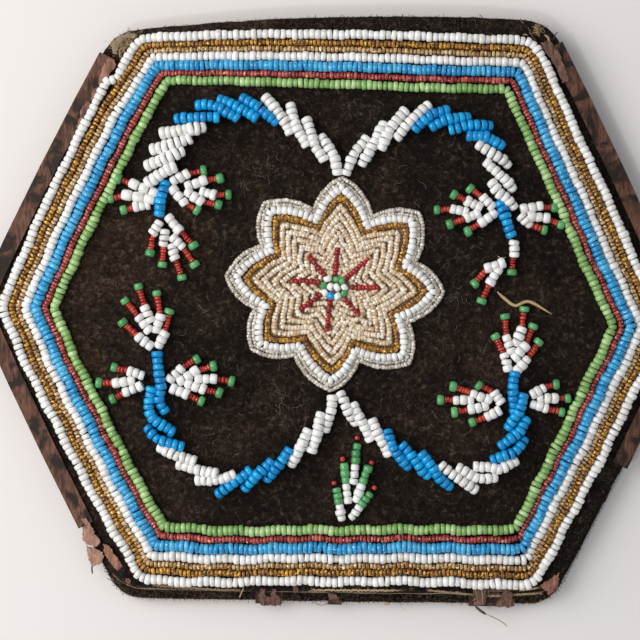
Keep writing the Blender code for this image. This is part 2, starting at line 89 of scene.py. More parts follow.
# Rows: name, share of the way inwards, bead diameter, pitch, slot, and how far the row is
# drawn to the right at the folded upper left corner and at the upper right corner, px
BORDER = (
    ("border_white_outer", 0.000, 2.40 * MM, 1.46 * MM, "white_beads", 8.0, 3.0),
    ("border_amber_outer", 0.172, 1.85 * MM, 0.98 * MM, "amber_beads", 7.0, 3.0),
    ("border_amber_inner", 0.300, 1.70 * MM, 0.98 * MM, "amber_beads", 7.5, 3.2),
    ("border_white_inner", 0.455, 2.35 * MM, 1.46 * MM, "white_beads", 7.5, 3.4),
    ("border_blue", 0.650, 2.60 * MM, 1.23 * MM, "border_blue_beads", 5.0, 4.5),
    ("border_red", 0.825, 1.75 * MM, 0.86 * MM, "border_red_beads", 3.0, 3.3),
    ("border_green", 1.000, 2.35 * MM, 1.32 * MM, "border_green_beads", 1.7, 0.0),
)
TUCK_JOG = (79, 81)              # px down, where the outermost row steps back out
TUCK_FADE = (62, 114)            # px down, where the other rows drift back
TUCK_RIGHT_FADE = (70, 140)
TUCK_ALONG = 50                  # px along the top over which the rows give way

# Star: petal tips and the notches after them, as (radius px, degrees)
STAR_MIDDLE = (335, 287.6)
STAR_TIPS = ((111.4, 86.1), (111.5, 130.0), (110.4, 174.1), (104.7, 216.3),
             (104.5, 267.8), (107.5, 314.7), (109.7, 357.4), (113.6, 401.1))
STAR_NOTCHES = ((77.4, 105.4), (81.5, 150.1), (79.8, 194.3), (75.5, 239.0),
                (73.2, 287.9), (77.0, 334.8), (81.2, 377.4), (76.8, 422.2))
PETAL_BOW = 0.125
PETAL_LEAST = 0.045
PETAL_STEPS = 12
SLIMMING = 48.0                  # px of inset at which a petal side would be straight
# Rows: name, inset px at tips, inset px at notches, diameter, pitch, slot, node replaced
STAR_ROWS = (
    ("star_clear_outer", 2.0, -2.0, 1.25 * MM, 0.80 * MM, "clear_beads", "star_clear"),
    ("star_clear_inner", 6.6, 2.8, 1.20 * MM, 0.80 * MM, "clear_beads", "star_clear"),
    ("star_white", 12.0, 8.8, 2.10 * MM, 1.36 * MM, "white_beads", "star_white"),
    ("star_amber", 20.6, 16.2, 1.75 * MM, 0.84 * MM, "amber_beads", "star_amber"),
    ("star_fill_1", 30.2, 23.4, 1.65 * MM, 0.80 * MM, "blush_beads", "star_fill_1"),
    ("star_fill_2", 39.6, 30.0, 1.65 * MM, 0.80 * MM, "blush_beads", "star_fill_2"),
    ("star_fill_3", 49.0, 36.8, 1.65 * MM, 0.80 * MM, "blush_beads", "star_fill_3"),
    ("star_fill_4", 58.4, 43.8, 1.65 * MM, 0.80 * MM, "blush_beads", "star_fill_4"),
    ("star_fill_5", 68.0, 51.0, 1.60 * MM, 0.80 * MM, "blush_beads", None),
    ("star_fill_6", 78.0, 58.2, 1.50 * MM, 0.80 * MM, "blush_beads", None),
    ("star_fill_7", 88.0, 64.5, 1.40 * MM, 0.80 * MM, "blush_beads", None),
)
# Every other fill row is drawn paler: partly a lighter bead tone, partly a painted highlight along the
# rows.
PALE_PAINTED_HIGHLIGHT_ROWS = ("star_fill_2", "star_fill_4", "star_fill_6")
STAR_WANDER = 0.16 * MM
GROUND_INSETS = (24.0, 17.0)     # paper pattern under the fill, px at tips and notches
GROUND_STEP = 1.0 * MM
GROUND_THICKNESS = 0.35 * MM
RAYS = (
    ((337.6, 249.5), (335.2, 273.5)), ((367.5, 259.5), (345.9, 278.5)),
    ((377.4, 287.6), (352.6, 287.6)), ((358.4, 314.2), (345.1, 300.1)),
    ((326.9, 329.9), (330.2, 299.3)), ((299.5, 310.9), (320.2, 295.1)),
    ((292.9, 281.0), (318.6, 281.8)), ((309.5, 256.1), (323.5, 274.4)),
)
RAY_BEAD = 1.55 * MM
RAY_PITCH = 0.92 * MM
RAY_SIDES = 10
HEART_WHITE = ((327.7, 278.5), (331, 286.8), (336.8, 287.6), (344.3, 287.6),
               (324.7, 293), (337.6, 296.3))
HEART_GREEN = ((336.8, 279.4), (341.8, 281), (323.5, 286), (344, 293.4))
HEART_BLUE = ((331, 296),)
HEART_BEAD = (2.15 * MM, 1.50 * MM)
HEART_LIFT = 0.25 * MM
HEART_TILT = 0.3

# Sprays: bead diameter and pitch, and lanes given by the pixels they run through
LANE_WHITE = (2.80 * MM, 1.55 * MM)
LANE_BLUE = (2.80 * MM, 1.50 * MM)
LANE_WIDE = (3.25 * MM, 1.50 * MM)
STEM_BLUE = (2.90 * MM, 1.60 * MM)
LANE_ARCH = 0.5 * MM
LANE_RISE = 0.8 * MM             # a lane's end nearer to the star stands this much higher
CLIMB_POWER = 0.7                # below one, a climb or an arch rises early
ARCH_POWER = 0.8
SPRAY_SIDES = 14
SPRAY_RUNS = (
    ("upper_left_near", "white_beads", (
        ((266.5, 99), (273.8, 107.9), (281.6, 117.4), (290, 133)),
        ((290.5, 107.3), (294.4, 121.8), (299.5, 134.1), (306.2, 145.3)),
        ((306.7, 121.8), (311.2, 134.1), (314.5, 146.4), (323.5, 159.8)),
        ((322.3, 138.6), (330.1, 150.8), (334.6, 158.7), (337.4, 172.6)))),
    ("upper_left_middle", "blue_beads", (
        ((243.7, 99.5), (255.9, 106.8), (275.5, 122.9)),
        ((220.8, 100.6), (234.2, 106.2), (255.9, 118.5)),
        ((199.6, 106.2), (214.6, 106.8), (237, 118.5)),
        ((178.4, 119.6), (199, 118.5), (217, 118.5)))),
    ("upper_left_far", "white_beads", (
        ((203, 128.5), (184, 131.5), (164, 134)),
        ((190, 140), (172, 146), (154, 150)),
        ((182, 152.5), (165, 160), (149, 166)),
        ((174, 168), (160, 176), (150, 183)))),
    ("upper_right_near", "white_beads", (
        ((346.3, 173.4), (353.8, 155), (365.8, 140.1)),
        ((362.4, 164.2), (373.9, 143.5), (383, 126.3)),
        ((381.3, 148.1), (391.1, 127.5), (404.3, 112.6)),
        ((397.4, 137.8), (411.2, 120.6), (427.2, 106.8)))),
    ("upper_right_middle", "blue_beads", (
        ((415.2, 129.8), (430.7, 116), (445.6, 112)),
        ((432.4, 128), (446.8, 120.6), (466.3, 118.3)),
        ((450.8, 130.9), (468.9, 126.3), (488.7, 126.9)),
        ((468.6, 136.7), (484.6, 137.8), (499.6, 145.8)))),
    ("upper_right_far", "white_beads", (
        ((478.9, 146.4), (490.4, 154.5), (500.7, 159.6), (506.5, 165.4)),
        ((486.4, 163.6), (494.4, 172.2), (504.2, 180.3), (511, 188.3)),
        ((491.5, 184.3), (497.3, 192.9), (505.3, 198.6), (512.2, 206.7)))),
    ("lower_left_near", "white_beads", (
        ((332.2, 397.6), (330.9, 410.7), (325.6, 428.4)),
        ((320.4, 414.6), (316.5, 436.2), (311.9, 449.3)),
        ((308, 431), (301.5, 444), (292.3, 463)))),
    ("lower_left_middle", "blue_beads", (
        ((289.7, 449.9), (276, 467.6), (268.1, 478)),
        ((270.7, 461.1), (255.7, 476.1), (245.9, 487.2)),
        ((249.8, 470.2), (230.2, 484.6), (219.7, 492.4)))),
    ("lower_left_far", "white_beads", (
        ((161.6, 448), (180.5, 455.8), (194.3, 459.7)),
        ((180.5, 463.7), (200.8, 469.6), (215.8, 472.8)),
        ((198.8, 479.4), (219.7, 478.7), (233.5, 474.1)))),
    ("upper_left_stem", "blue_beads", (
        ((165.8, 185), (162, 199), (160.3, 214)),)),
    ("upper_right_stem", "blue_beads", (
        ((499.5, 205), (504.5, 219), (510, 235)),)),
    ("lower_left_stem", "blue_beads", (
        ((158.3, 354), (159.2, 366), (161.6, 387.8), (159.6, 399.6), (165.5, 410)),
        ((152.4, 389), (149.8, 405.5), (153.7, 418), (159, 421.8), (172.7, 431)),
        ((149.2, 428.4), (159.6, 438.8), (181.8, 446)))),
    ("lower_right_near", "white_beads", (
        ((341, 394), (347, 408), (354.6, 421.4)),
        ((353.8, 405.4), (361, 420), (369.9, 437.5)),
        ((372.2, 420.7), (378, 434), (388, 452)))),
    ("lower_right_middle", "blue_beads", (
        ((386.9, 431.8), (392.9, 446.6), (400.3, 458.6), (407.2, 465.6)),
        ((402.6, 444.8), (412.7, 456.8), (421.1, 468.8), (427, 474)),
        ((421.5, 454), (431, 465.1), (439.6, 478), (448.8, 485.4)))),
    ("lower_right_far", "white_beads", (
        ((441.4, 465.1), (449, 471), (458, 478), (473.8, 488.2)),
        ((458.5, 467.4), (471, 474.3), (480, 478), (493.3, 477.1)),
        ((475.2, 466), (489.9, 466.4), (498.7, 468.5), (513.5, 460.4)))),
    ("lower_right_stem", "blue_beads", (
        ((513.5, 374), (511.7, 389.3), (512.7, 403.1), (513.5, 410)),
        ((521.9, 395.7), (519.6, 407.5), (512.7, 418.7), (508, 426.3)),
        ((524.7, 419.8), (518.3, 430.8), (509, 438), (500.6, 444.8)),
        ((523.5, 440), (513.7, 451.2), (503, 455), (492.3, 458.6)))),
)

# Fans: each string's first white bead, last white bead and green tip
FAN_WHITE = 2.60 * MM
FAN_WHITE_COUNT = 3
FAN_RED = 1.60 * MM
FAN_RED_PITCH = 0.80 * MM
FAN_RED_LIFT = 0.2 * MM
FAN_TIP = (2.55 * MM, 1.65 * MM)
FAN_ARCH = 0.5 * MM
SPRAY_FANS = (
    ("upper_left_fan_left", (
        ((155, 193.5), (135, 185), (119.3, 179.6)),
        ((150.5, 199.5), (128, 195.5), (111.5, 199.2)),
        ((148.5, 205.5), (137, 207.5), (124.5, 211)))),
    ("upper_left_fan_right", (
        ((175, 181.5), (186.8, 174.6), (204.2, 171.5)),
        ((189.3, 186.2), (204.2, 181.5), (220.5, 179)),
        ((203, 192), (214.1, 195.3), (229, 195.3)),
        ((189.3, 193.5), (201, 201.5), (219, 205.6)),
        ((174.5, 190.5), (184.3, 202.8), (198, 210.5)))),
    ("upper_left_fan_low", (
        ((170, 219), (179.3, 230), (194.2, 246)),
        ((174.3, 238.2), (182.6, 246.5), (195, 264.8)),
        ((172.5, 247.3), (175.5, 258), (182.5, 277.6)),
        ((166, 233), (164.4, 244), (163, 264.9)),
        ((160, 224), (154.4, 233), (151, 253.3)))),
    ("upper_right_fan_left", (
        ((478.4, 207.8), (467.2, 201.8), (453.5, 195)),
        ((491, 207), (482.7, 198.4), (469.7, 189)),
        ((464.6, 212.1), (452.6, 209.6), (436.5, 210.4)),
        ((476.7, 213.9), (466.3, 218.2), (449.2, 224.8)),
        ((493, 214.5), (481.4, 222.5), (467, 231.5)))),
    ("upper_right_fan_right", (
        ((523, 209.6), (538.7, 207), (553.8, 208.2)),
        ((530, 217), (545.6, 218.2), (560, 225.3)),
        ((520.4, 217.5), (528, 224.5), (543.4, 230.5)))),
    ("upper_right_fan_low", (
        ((513, 243.5), (512.9, 254.8), (510.8, 272.5)),
        ((501, 263.5), (487.2, 268.1), (473.7, 283.6)),
        ((497, 270.6), (489.7, 282.2), (480.9, 301)))),
    ("lower_left_fan_top", (
        ((151.5, 319.8), (146.1, 308.2), (139.2, 286.8)),
        ((156.9, 329.7), (161.5, 317), (157.5, 293.4)),
        ((149.5, 329.7), (140.3, 318.1), (126, 300.7)),
        ((159.7, 345), (165.2, 334), (170.2, 311.5)),
        ((150.8, 345.5), (140.3, 337.2), (123.6, 322.4)))),
    ("lower_left_fan_left", (
        ((142.5, 375), (131.2, 371.2), (115, 367.3)),
        ((132, 380.3), (117.1, 382.8), (99.8, 382.4)),
        ((140.5, 386), (127.1, 391.9), (113.4, 398.5)))),
    ("lower_left_fan_right", (
        ((171.5, 378.5), (181, 368.7), (197.4, 359)),
        ((181.8, 380.3), (195.9, 371.2), (214.1, 365.9)),
        ((199.2, 378.6), (214.1, 378.6), (232.1, 381.2)),
        ((189.3, 383.6), (203.4, 388.6), (219.9, 392.8)),
        ((174, 388.5), (186.8, 393.6), (202, 401.1)))),
    ("lower_right_fan_top", (
        ((510.4, 350.6), (505.5, 338.2), (504.4, 316.5)),
        ((515.5, 342.3), (520.4, 329.9), (523.4, 309.3)),
        ((514.6, 357.2), (523.7, 346.5), (532.4, 326.5)),
        ((516.2, 369.5), (525.4, 359.7), (537.8, 342)),
        ((507, 368), (503.8, 355.6), (494.8, 336.4)))),
    ("lower_right_fan_left", (
        ((499.5, 401.5), (493.8, 392.9), (478.4, 384.8)),
        ((487.2, 399.0), (473.1, 393.7), (452.6, 386.2)),
        ((469.5, 400.0), (455.7, 399.7), (440, 399.3)),
        ((484, 405.6), (470.6, 408.9), (453.8, 411.5)),
        ((497.5, 410.5), (487.2, 416.1), (471.7, 422)))),
    ("lower_right_fan_right", (
        ((532, 393.5), (541.9, 387.9), (555.3, 384)),
        ((539.5, 397.9), (553.5, 397.9), (567, 398)),
        ((532.5, 404), (544.4, 407.8), (561, 412)))),
)

# Small plant: first white bead, last green bead, red tip
PLANT = (
    ((353.5, 480.4), (356.6, 446), (356.9, 437.5)),
    ((347.7, 499.5), (344.2, 466), (342.4, 458.6)),
    ((356.4, 498), (367.6, 468), (371.2, 462)),
    ((341.5, 517), (337, 489.5), (333.9, 482.5)),
    ((352, 516), (369.1, 494), (374, 487)),
)
PLANT_BEAD = 2.25 * MM
PLANT_TIP = (1.3 * MM, 1.1 * MM)
PLANT_LIFT = 0.2 * MM
PLANT_WHITES = 3
PLANT_STEPS = 5                  # steps from a finger's first bead to its last green one

# Bead section: hole share of the radius, how square the rounding is, and its angles
HOLE = 0.34
SQUARENESS = 0.76
FINE = (90, 48, 4, -68, -112, 176, 132)
PLAIN = (66, 114, 166, 245, 295, 14)
# Beads of sewn rows: sides and angles
LARGE_FROM = 2 * MM
LARGE_BEADS = (12, FINE)
SMALL_BEADS = (9, PLAIN)
TOUCHING = 1.02                  # bead length as a share of the pitch in a row
STRUNG_TIGHT = 1.30              # the same for the star's fine beads
PLANT_TOUCHING = 1.03
SIDEWAYS = 0.05 * MM             # how far single beads sit out of line
UPWARDS = 0.03 * MM              # how far they sit higher or lower
SEATING = -0.05 * MM             # how far beads settle into the pile
TILT = 0.09
UNEVEN = 0.06                    # how far bead sizes differ, as a share


def at(pixels):
    """Photograph pixels to metres on the plan, as an array."""
    return (np.asarray(pixels, float) - MIDDLE) * (PX, -PX)


# Heights
def inside_of(points, start, end):
    run = end - start
    away = points - start
    return (run[1] * away[..., 0] - run[0] * away[..., 1]) / np.hypot(*run)


def crown(points):
    """Nought along the sewn sides and one over the middle of the bag."""
    corners = at(BACK_CORNERS)
    height = np.full(points.shape[:-1], CROWN_FLAT)
    for side in range(1, 6):
        inside = inside_of(points, corners[side], corners[(side + 1) % 6])
        height = height * np.tanh(np.maximum(inside, 0.0) / CROWN_WIDTH)
    return np.minimum(height, 1.0)


def pocket(points):
    mouth = at(BACK_CORNERS[0])[1]
    near = np.clip((points[..., 1] - mouth + MOUTH_LENGTH) / MOUTH_LENGTH, 0.0, 1.0)
    closing = MOUTH_CLOSING * near * near * (3 - 2 * near)
    return POCKET * crown(points) * (1 - closing)


def back_under(points):
    return RIM_LIFT * (1 - crown(points))


def back_top(points):
    return back_under(points) + VELVET


def back_lining_under(points):
    return back_top(points) + GAP


def front_lining_under(points):
    return back_lining_under(points) + LINING + GAP + pocket(points)


def front_under(points):
    return front_lining_under(points) + LINING + GAP


def front_top(points):
    return front_under(points) + VELVET


# Plan curves
def bowed(start, end, bow, shares):
    """Points on a side that bulges to the left of its direction by bow pixels."""
    run = end - start
    left = np.array((-run[1], run[0])) / np.hypot(*run)
    shares = np.asarray(shares)[:, None]
    return start + run * shares + left * (4 * bow * PX * shares * (1 - shares))


def hexagon(corners, bows, rounding, side_steps=48, corner_steps=6):
    """Closed outline, with every corner rounded by a short arc."""
    marks = at(corners)
    outline = []
    for index, corner in enumerate(marks):
        after = marks[(index + 1) % 6]
        later = marks[(index + 2) % 6]
        length = np.hypot(*(after - corner))
        shares = np.linspace(rounding / length, 1 - rounding / length, side_steps)
        side = bowed(corner, after, bows[index], shares)
        next_share = rounding / np.hypot(*(later - after))
        leave = bowed(after, later, bows[(index + 1) % 6], [next_share])[0]
        turn = np.linspace(0, 1, corner_steps + 2)[1:-1, None]
        arc = (side[-1] * (1 - turn) ** 2 + after * 2 * turn * (1 - turn) + leave * turn ** 2)
        outline += [side, arc]
    return np.concatenate(outline)


def moved_bottom(corners, up_by):
    """Corners with the two at the bottom moved up by pixels."""
    return [(x, y - up_by if index in (3, 4) else y) for index, (x, y) in enumerate(corners)]


def resampled(points, pitch, closed=False):
    """Points at even steps along a path, and the direction there."""
    if closed:
        points = np.vstack([points, points[:1]])
    steps = np.hypot(*np.diff(points, axis=0).T)
    reached = np.concatenate([[0], np.cumsum(steps)])
    count = max(int(round(reached[-1] / pitch)) + (0 if closed else 1), 2)
    places = np.linspace(0, reached[-1], count, endpoint=not closed)
    found = np.stack([np.interp(places, reached, points[:, k]) for k in (0, 1)], axis=1)
    around = (np.roll(found, -1, 0) - np.roll(found, 1, 0)) if closed else np.gradient(found, axis=0)
    return found, around / np.hypot(*around.T)[:, None]


def wandering(points, along, amount, seed):
    """Points moved sideways by a slow hand-sewn waver."""
    rng = np.random.default_rng(seed)
    count = len(points)
    turn = np.arange(count) / count * 2 * math.pi
    drift = np.zeros(count)
    for waves in WANDER_WAVES:
        height = rng.normal(0, 1)
        drift += height * np.sin(turn * waves + rng.uniform(0, WANDER_PHASE)) / WANDER_EVENED
    side = np.stack([-along[:, 1], along[:, 0]], axis=1)
    looser = LOOSER - points[:, 1] / WANDER_DOWN
    return points + side * (drift * amount * looser)[:, None]


# Beads
def bead_section(angles):
    """Closed section of a bead as (along the hole, radius), for unit half-length and radius."""
    turn = np.radians(angles)
    middle, half = (1 + HOLE) / 2, (1 - HOLE) / 2
    along = np.sign(np.cos(turn)) * np.abs(np.cos(turn)) ** SQUARENESS
    radius = middle + half * np.sign(np.sin(turn)) * np.abs(np.sin(turn)) ** SQUARENESS
    return along, radius


def bead_arrays(centres, axes, diameters, lengths, sides, angles, seed):
    """Vertices and faces of many beads, each turned a little about its own hole."""
    rng = np.random.default_rng(seed)
    count = len(centres)
    along, radius = bead_section(angles)
    axes = axes / np.linalg.norm(axes, axis=1)[:, None]
    up = np.tile((0.0, 0.0, 1.0), (count, 1))
    across = np.cross(up, axes)
    across /= np.linalg.norm(across, axis=1)[:, None]
    rise = np.cross(axes, across)
    spin = rng.uniform(0, 2 * math.pi, count)[:, None]
    around = spin + np.arange(sides)[None, :] * (2 * math.pi / sides)
    outward = (across[:, None, :] * np.cos(around)[..., None]
               + rise[:, None, :] * np.sin(around)[..., None])
    ring = outward[:, :, None, :] * (radius[None, None, :, None]
                                     * diameters[:, None, None, None] / 2)
    shift = axes[:, None, None, :] * (along[None, None, :, None]
                                      * lengths[:, None, None, None] / 2)
    vertices = (centres[:, None, None, :] + ring + shift).reshape(-1, 3)
    steps = len(angles)
    side, step = np.meshgrid(np.arange(sides), np.arange(steps), indexing="ij")
    here = side * steps + step
    below = side * steps + (step + 1) % steps
    next_here = (side + 1) % sides * steps + step
    next_below = (side + 1) % sides * steps + (step + 1) % steps
    quads = np.stack([here, below, next_below, next_here], axis=-1).reshape(-1, 4)
    faces = (quads[None] + (np.arange(count) * sides * steps)[:, None, None]).reshape(-1, 4)
    return vertices, faces


def mesh_object(name, vertices, faces, materials, choice=None, smooth=True):
    mesh = bpy.data.meshes.new(name)
    mesh.from_pydata(vertices.tolist(), [], faces if isinstance(faces, list) else faces.tolist())
    for entry in materials:
        mesh.materials.append(entry)
    mesh.polygons.foreach_set("use_smooth", np.full(len(faces), smooth))
    if choice is not None:
        mesh.polygons.foreach_set("material_index", choice.astype(np.int32))
    mesh.update()
    body = bpy.data.objects.new(name, mesh)
    bpy.context.scene.collection.objects.link(body)
    return body


def seated(points, diameters, lift=0.0):
    """Bead centres on the front velvet, pressed a little into its pile."""
    height = front_top(points) + diameters * 0.5 + SEATING + lift
    return np.column_stack([points, height])


def thickened(body, thickness):
    """Thicken a sheet upwards from its underside."""
    solid = body.modifiers.new("thickness", "SOLIDIFY")
    solid.thickness = thickness
    solid.offset = 1.0
    return body


def placed(body, nodes=()):
    """Fasten a piece to the bag's one body."""
    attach(body, "root")
    if nodes:
        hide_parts(*nodes)
    return body


class Beads:
    """Gathers the beads of one piece, which may be of several colours."""

    def __init__(self, name, seed, sides, angles=FINE):
        self.name = name
        self.sides = sides
        self.angles = angles
        self.rng = np.random.default_rng(seed)
        self.seed = seed
        self.centres, self.axes, self.diameters, self.lengths, self.colours = [], [], [], [], []

    def add(self, points, along, diameter, length, colour, lift=0.0, tilt=TILT):
        """Beads at plan points, with small differences in size, place and tilt."""
        count = len(points)
        side = np.column_stack([-along[:, 1], along[:, 0]])
        points = points + side * self.rng.normal(0, SIDEWAYS, count)[:, None]
        diameters = diameter * (1 + self.rng.normal(0, UNEVEN, count))
        lengths = length * (1 + self.rng.normal(0, UNEVEN, count))
        centres = seated(points, diameters, lift)
        centres[:, 2] += self.rng.normal(0, UPWARDS, count)
        slope = np.gradient(centres[:, 2]) if count > 1 else np.zeros(1)
        step = np.hypot(*np.gradient(points, axis=0).T) if count > 1 else np.ones(1)
        axes = np.column_stack([along, slope / np.maximum(step, 0.1 * MM)])
        axes += self.rng.normal(0, tilt, (count, 3)) * (1, 1, 0.5)
        self.centres.append(centres)
        self.axes.append(axes)
        self.diameters.append(diameters)
        self.lengths.append(lengths)
        self.colours.append(np.full(count, colour))

    def build(self, materials, slot, nodes=()):
        centres = np.concatenate(self.centres)
        vertices, faces = bead_arrays(
            centres, np.concatenate(self.axes), np.concatenate(self.diameters),
            np.concatenate(self.lengths), self.sides, self.angles, self.seed)
        per_bead = self.sides * len(self.angles)
        choice = np.repeat(np.concatenate(self.colours), per_bead)
        body = mesh_object(self.name, vertices, faces, materials, choice)
        return placed(body, nodes)


def row_beads(name, seed, diameter):
    """Beads of one sewn row, more finely made where they are large."""
    return Beads(name, seed, *(LARGE_BEADS if diameter > LARGE_FROM else SMALL_BEADS))


# Materials
BROWNER_TO_LEFT = -1.5           # a metre of the bag's width, for the velvet's brown patches


def new_material(name, **sockets):
    made = bpy.data.materials.new(name)
    made.use_nodes = True
    shader = made.node_tree.nodes["Principled BSDF"]
    for socket, value in sockets.items():
        shader.inputs[socket.replace("_", " ")].default_value = value
    return made, made.node_tree, shader


def node(tree, kind, **values):
    """New node, with its properties and its input values set by name."""
    made = tree.nodes.new(kind)
    for key, value in values.items():
        if hasattr(made, key):
            setattr(made, key, value)
        else:
            made.inputs[key.replace("_", " ")].default_value = value
    return made


def noise(tree, scale, detail=3.0, stretch=(1, 1, 1), distortion=0.0):
    """Noise over the bag's own coordinates, stretched along an axis where wanted."""
    place = node(tree, "ShaderNodeTexCoord")
    scaled = node(tree, "ShaderNodeMapping")
    scaled.inputs["Scale"].default_value = stretch
    made = node(tree, "ShaderNodeTexNoise", Scale=scale, Detail=detail, Distortion=distortion)
    tree.links.new(place.outputs["Object"], scaled.inputs["Vector"])
    tree.links.new(scaled.outputs["Vector"], made.inputs["Vector"])
    return made.outputs["Fac"]


def ramp(tree, source, stops):
    """Colour ramp through (place, colour) stops."""
    made = node(tree, "ShaderNodeValToRGB")
    made.color_ramp.elements.remove(made.color_ramp.elements[1])
    for index, (place, colour) in enumerate(stops):
        stop = made.color_ramp.elements[0] if index == 0 else made.color_ramp.elements.new(place)
        stop.position = place
        stop.color = (*colour, 1.0)
    tree.links.new(source, made.inputs["Fac"])
    return made.outputs["Color"]


def mixed(tree, share, first, second, blend="MIX"):
    """Mix of two colours, each a socket or three numbers."""
    made = node(tree, "ShaderNodeMix", data_type="RGBA", blend_type=blend)
    for socket, value in ((0, share), (6, first), (7, second)):
        if isinstance(value, bpy.types.NodeSocket):
            tree.links.new(value, made.inputs[socket])
        else:
            made.inputs[socket].default_value = value if socket == 0 else (*value, 1.0)
    return made.outputs[2]


def bumped(tree, shader, height, strength, distance):
    made = node(tree, "ShaderNodeBump", Strength=strength, Distance=distance)
    tree.links.new(height, made.inputs["Height"])
    tree.links.new(made.outputs["Normal"], shader.inputs["Normal"])


def bead_glass(name, stops, roughness=0.12, coat=0.0, subsurface=0.0, painted_side_shade=None, painted_glint=None,
               painted_glint_from=0.60):
    """Glass whose colour differs from bead to bead, with painted highlights as bright flecks and
    painted shade on the darker flanks.
    """
    made, tree, shader = new_material(
        name, Roughness=roughness, Coat_Weight=coat, Subsurface_Weight=subsurface, IOR=1.52)
    shader.inputs["Subsurface Radius"].default_value = (1, 1, 1)
    shader.inputs["Subsurface Scale"].default_value = 0.5 * MM
    lots = node(tree, "ShaderNodeNewGeometry")
    colour = ramp(tree, lots.outputs["Random Per Island"], stops)
    # Painted shade: bead sides that face away from straight up take the darker flank colour, and the
    # tops keep the glass colour.
    if painted_side_shade:
        facing = node(tree, "ShaderNodeSeparateXYZ")
        tree.links.new(lots.outputs["Normal"], facing.inputs["Vector"])
        unshaded_top_share = ramp(tree, facing.outputs["Z"], ((0.40, (0, 0, 0)), (0.86, (1, 1, 1))))
        colour = mixed(tree, unshaded_top_share, painted_side_shade, colour)
    # Painted highlight: bright specks of the glint colour where fine noise runs high, standing in for
    # light sparkling on and through the glass.
    if painted_glint:
        painted_glint_specks = ramp(tree, noise(tree, 1500, 2), ((painted_glint_from, (0, 0, 0)),
                                                   (painted_glint_from + 0.05, (1, 1, 1))))
        colour = mixed(tree, painted_glint_specks, colour, painted_glint)
    wear = ramp(tree, noise(tree, 900, 2), ((0.3, (0.80, 0.80, 0.80)), (0.6, (1, 1, 1))))
    tree.links.new(mixed(tree, 1.0, colour, wear, "MULTIPLY"), shader.inputs["Base Color"])
    bumped(tree, shader, noise(tree, 1500, 2), 0.12, 0.1 * MM)
    return made


def velvet_cloth():
    """Dark worn pile with scuffed fibres, brown in noise patches that grow towards the left."""
    made, tree, shader = new_material(
        "velvet_pile", Roughness=0.95, Sheen_Weight=0.10, Sheen_Roughness=0.5,
        Specular_IOR_Level=0.12)
    shader.inputs["Sheen Tint"].default_value = (0.55, 0.42, 0.33, 1.0)
    fibres = noise(tree, 900, 6, distortion=0.9)
    patches = noise(tree, 38, 5, distortion=0.5)
    clouds = ramp(tree, noise(tree, 170, 6, distortion=0.6), ((0.32, (0.62, 0.62, 0.62)),
                                                              (0.66, (1.45, 1.45, 1.45))))
    place = node(tree, "ShaderNodeTexCoord")
    sides = node(tree, "ShaderNodeSeparateXYZ")
    tree.links.new(place.outputs["Object"], sides.inputs["Vector"])
    lean = node(tree, "ShaderNodeMath", operation="MULTIPLY_ADD")
    lean.inputs[1].default_value = BROWNER_TO_LEFT
    tree.links.new(sides.outputs["X"], lean.inputs[0])
    tree.links.new(patches, lean.inputs[2])
    brown_share = ramp(tree, lean.outputs["Value"], ((0.46, (0, 0, 0)), (0.70, (1, 1, 1))))
    dark = ramp(tree, fibres, ((0.36, (0.0036, 0.0023, 0.0017)), (0.52, (0.0092, 0.0059, 0.0045)),
                               (0.62, (0.021, 0.0143, 0.0110)), (0.74, (0.064, 0.047, 0.037))))
    brown = ramp(tree, fibres, ((0.36, (0.0088, 0.0049, 0.0031)), (0.52, (0.022, 0.0126, 0.0080)),
                                (0.62, (0.042, 0.026, 0.017)), (0.74, (0.094, 0.061, 0.043))))
    pile = mixed(tree, 1.0, mixed(tree, brown_share, dark, brown), clouds, "MULTIPLY")
    tree.links.new(pile, shader.inputs["Base Color"])
    bumped(tree, shader, fibres, 0.7, 0.4 * MM)
    return made


def cotton_cloth():
    """Plain-woven tan cotton."""
    made, tree, shader = new_material("cotton_weave", Roughness=0.9, Sheen_Weight=0.15)
    place = node(tree, "ShaderNodeTexCoord")
    threads = []
    for direction in ("X", "Y"):
        wave = node(tree, "ShaderNodeTexWave", bands_direction=direction, Scale=420.0,
                    Distortion=1.2, Detail=1.0)
        tree.links.new(place.outputs["Object"], wave.inputs["Vector"])
        threads.append(wave.outputs["Color"])
    weave = mixed(tree, 0.5, threads[0], threads[1])
    stain = ramp(tree, noise(tree, 60, 4), ((0.35, (0.50, 0.33, 0.18)), (0.7, (0.66, 0.50, 0.32))))
    shaded = mixed(tree, 0.35, stain, weave, "MULTIPLY")
    tree.links.new(shaded, shader.inputs["Base Color"])
    bumped(tree, shader, weave, 0.6, 0.15 * MM)
    return made


def silk_cloth(name, dark, light, bare_from, sheen=0.25):
    """Faded silk with fine cross threads, worn to dark ground where the noise is high."""
    made, tree, shader = new_material(
        name, Roughness=0.7, Sheen_Weight=sheen, Sheen_Roughness=0.3, Specular_IOR_Level=0.25)
    shader.inputs["Sheen Tint"].default_value = (0.9, 0.62, 0.5, 1.0)
    streaks = noise(tree, 1400, 4, (1, 0.18, 1), distortion=0.6)
    fade = noise(tree, 150, 5, distortion=0.8)
    tone = ramp(tree, streaks, ((0.3, dark), (0.7, light)))
    bare = ramp(tree, fade, ((bare_from, (0, 0, 0)), (bare_from + 0.08, (1, 1, 1))))
    worn = mixed(tree, bare, tone, (0.020, 0.012, 0.009))
    tree.links.new(worn, shader.inputs["Base Color"])
    bumped(tree, shader, streaks, 0.7, 0.2 * MM)
    return made


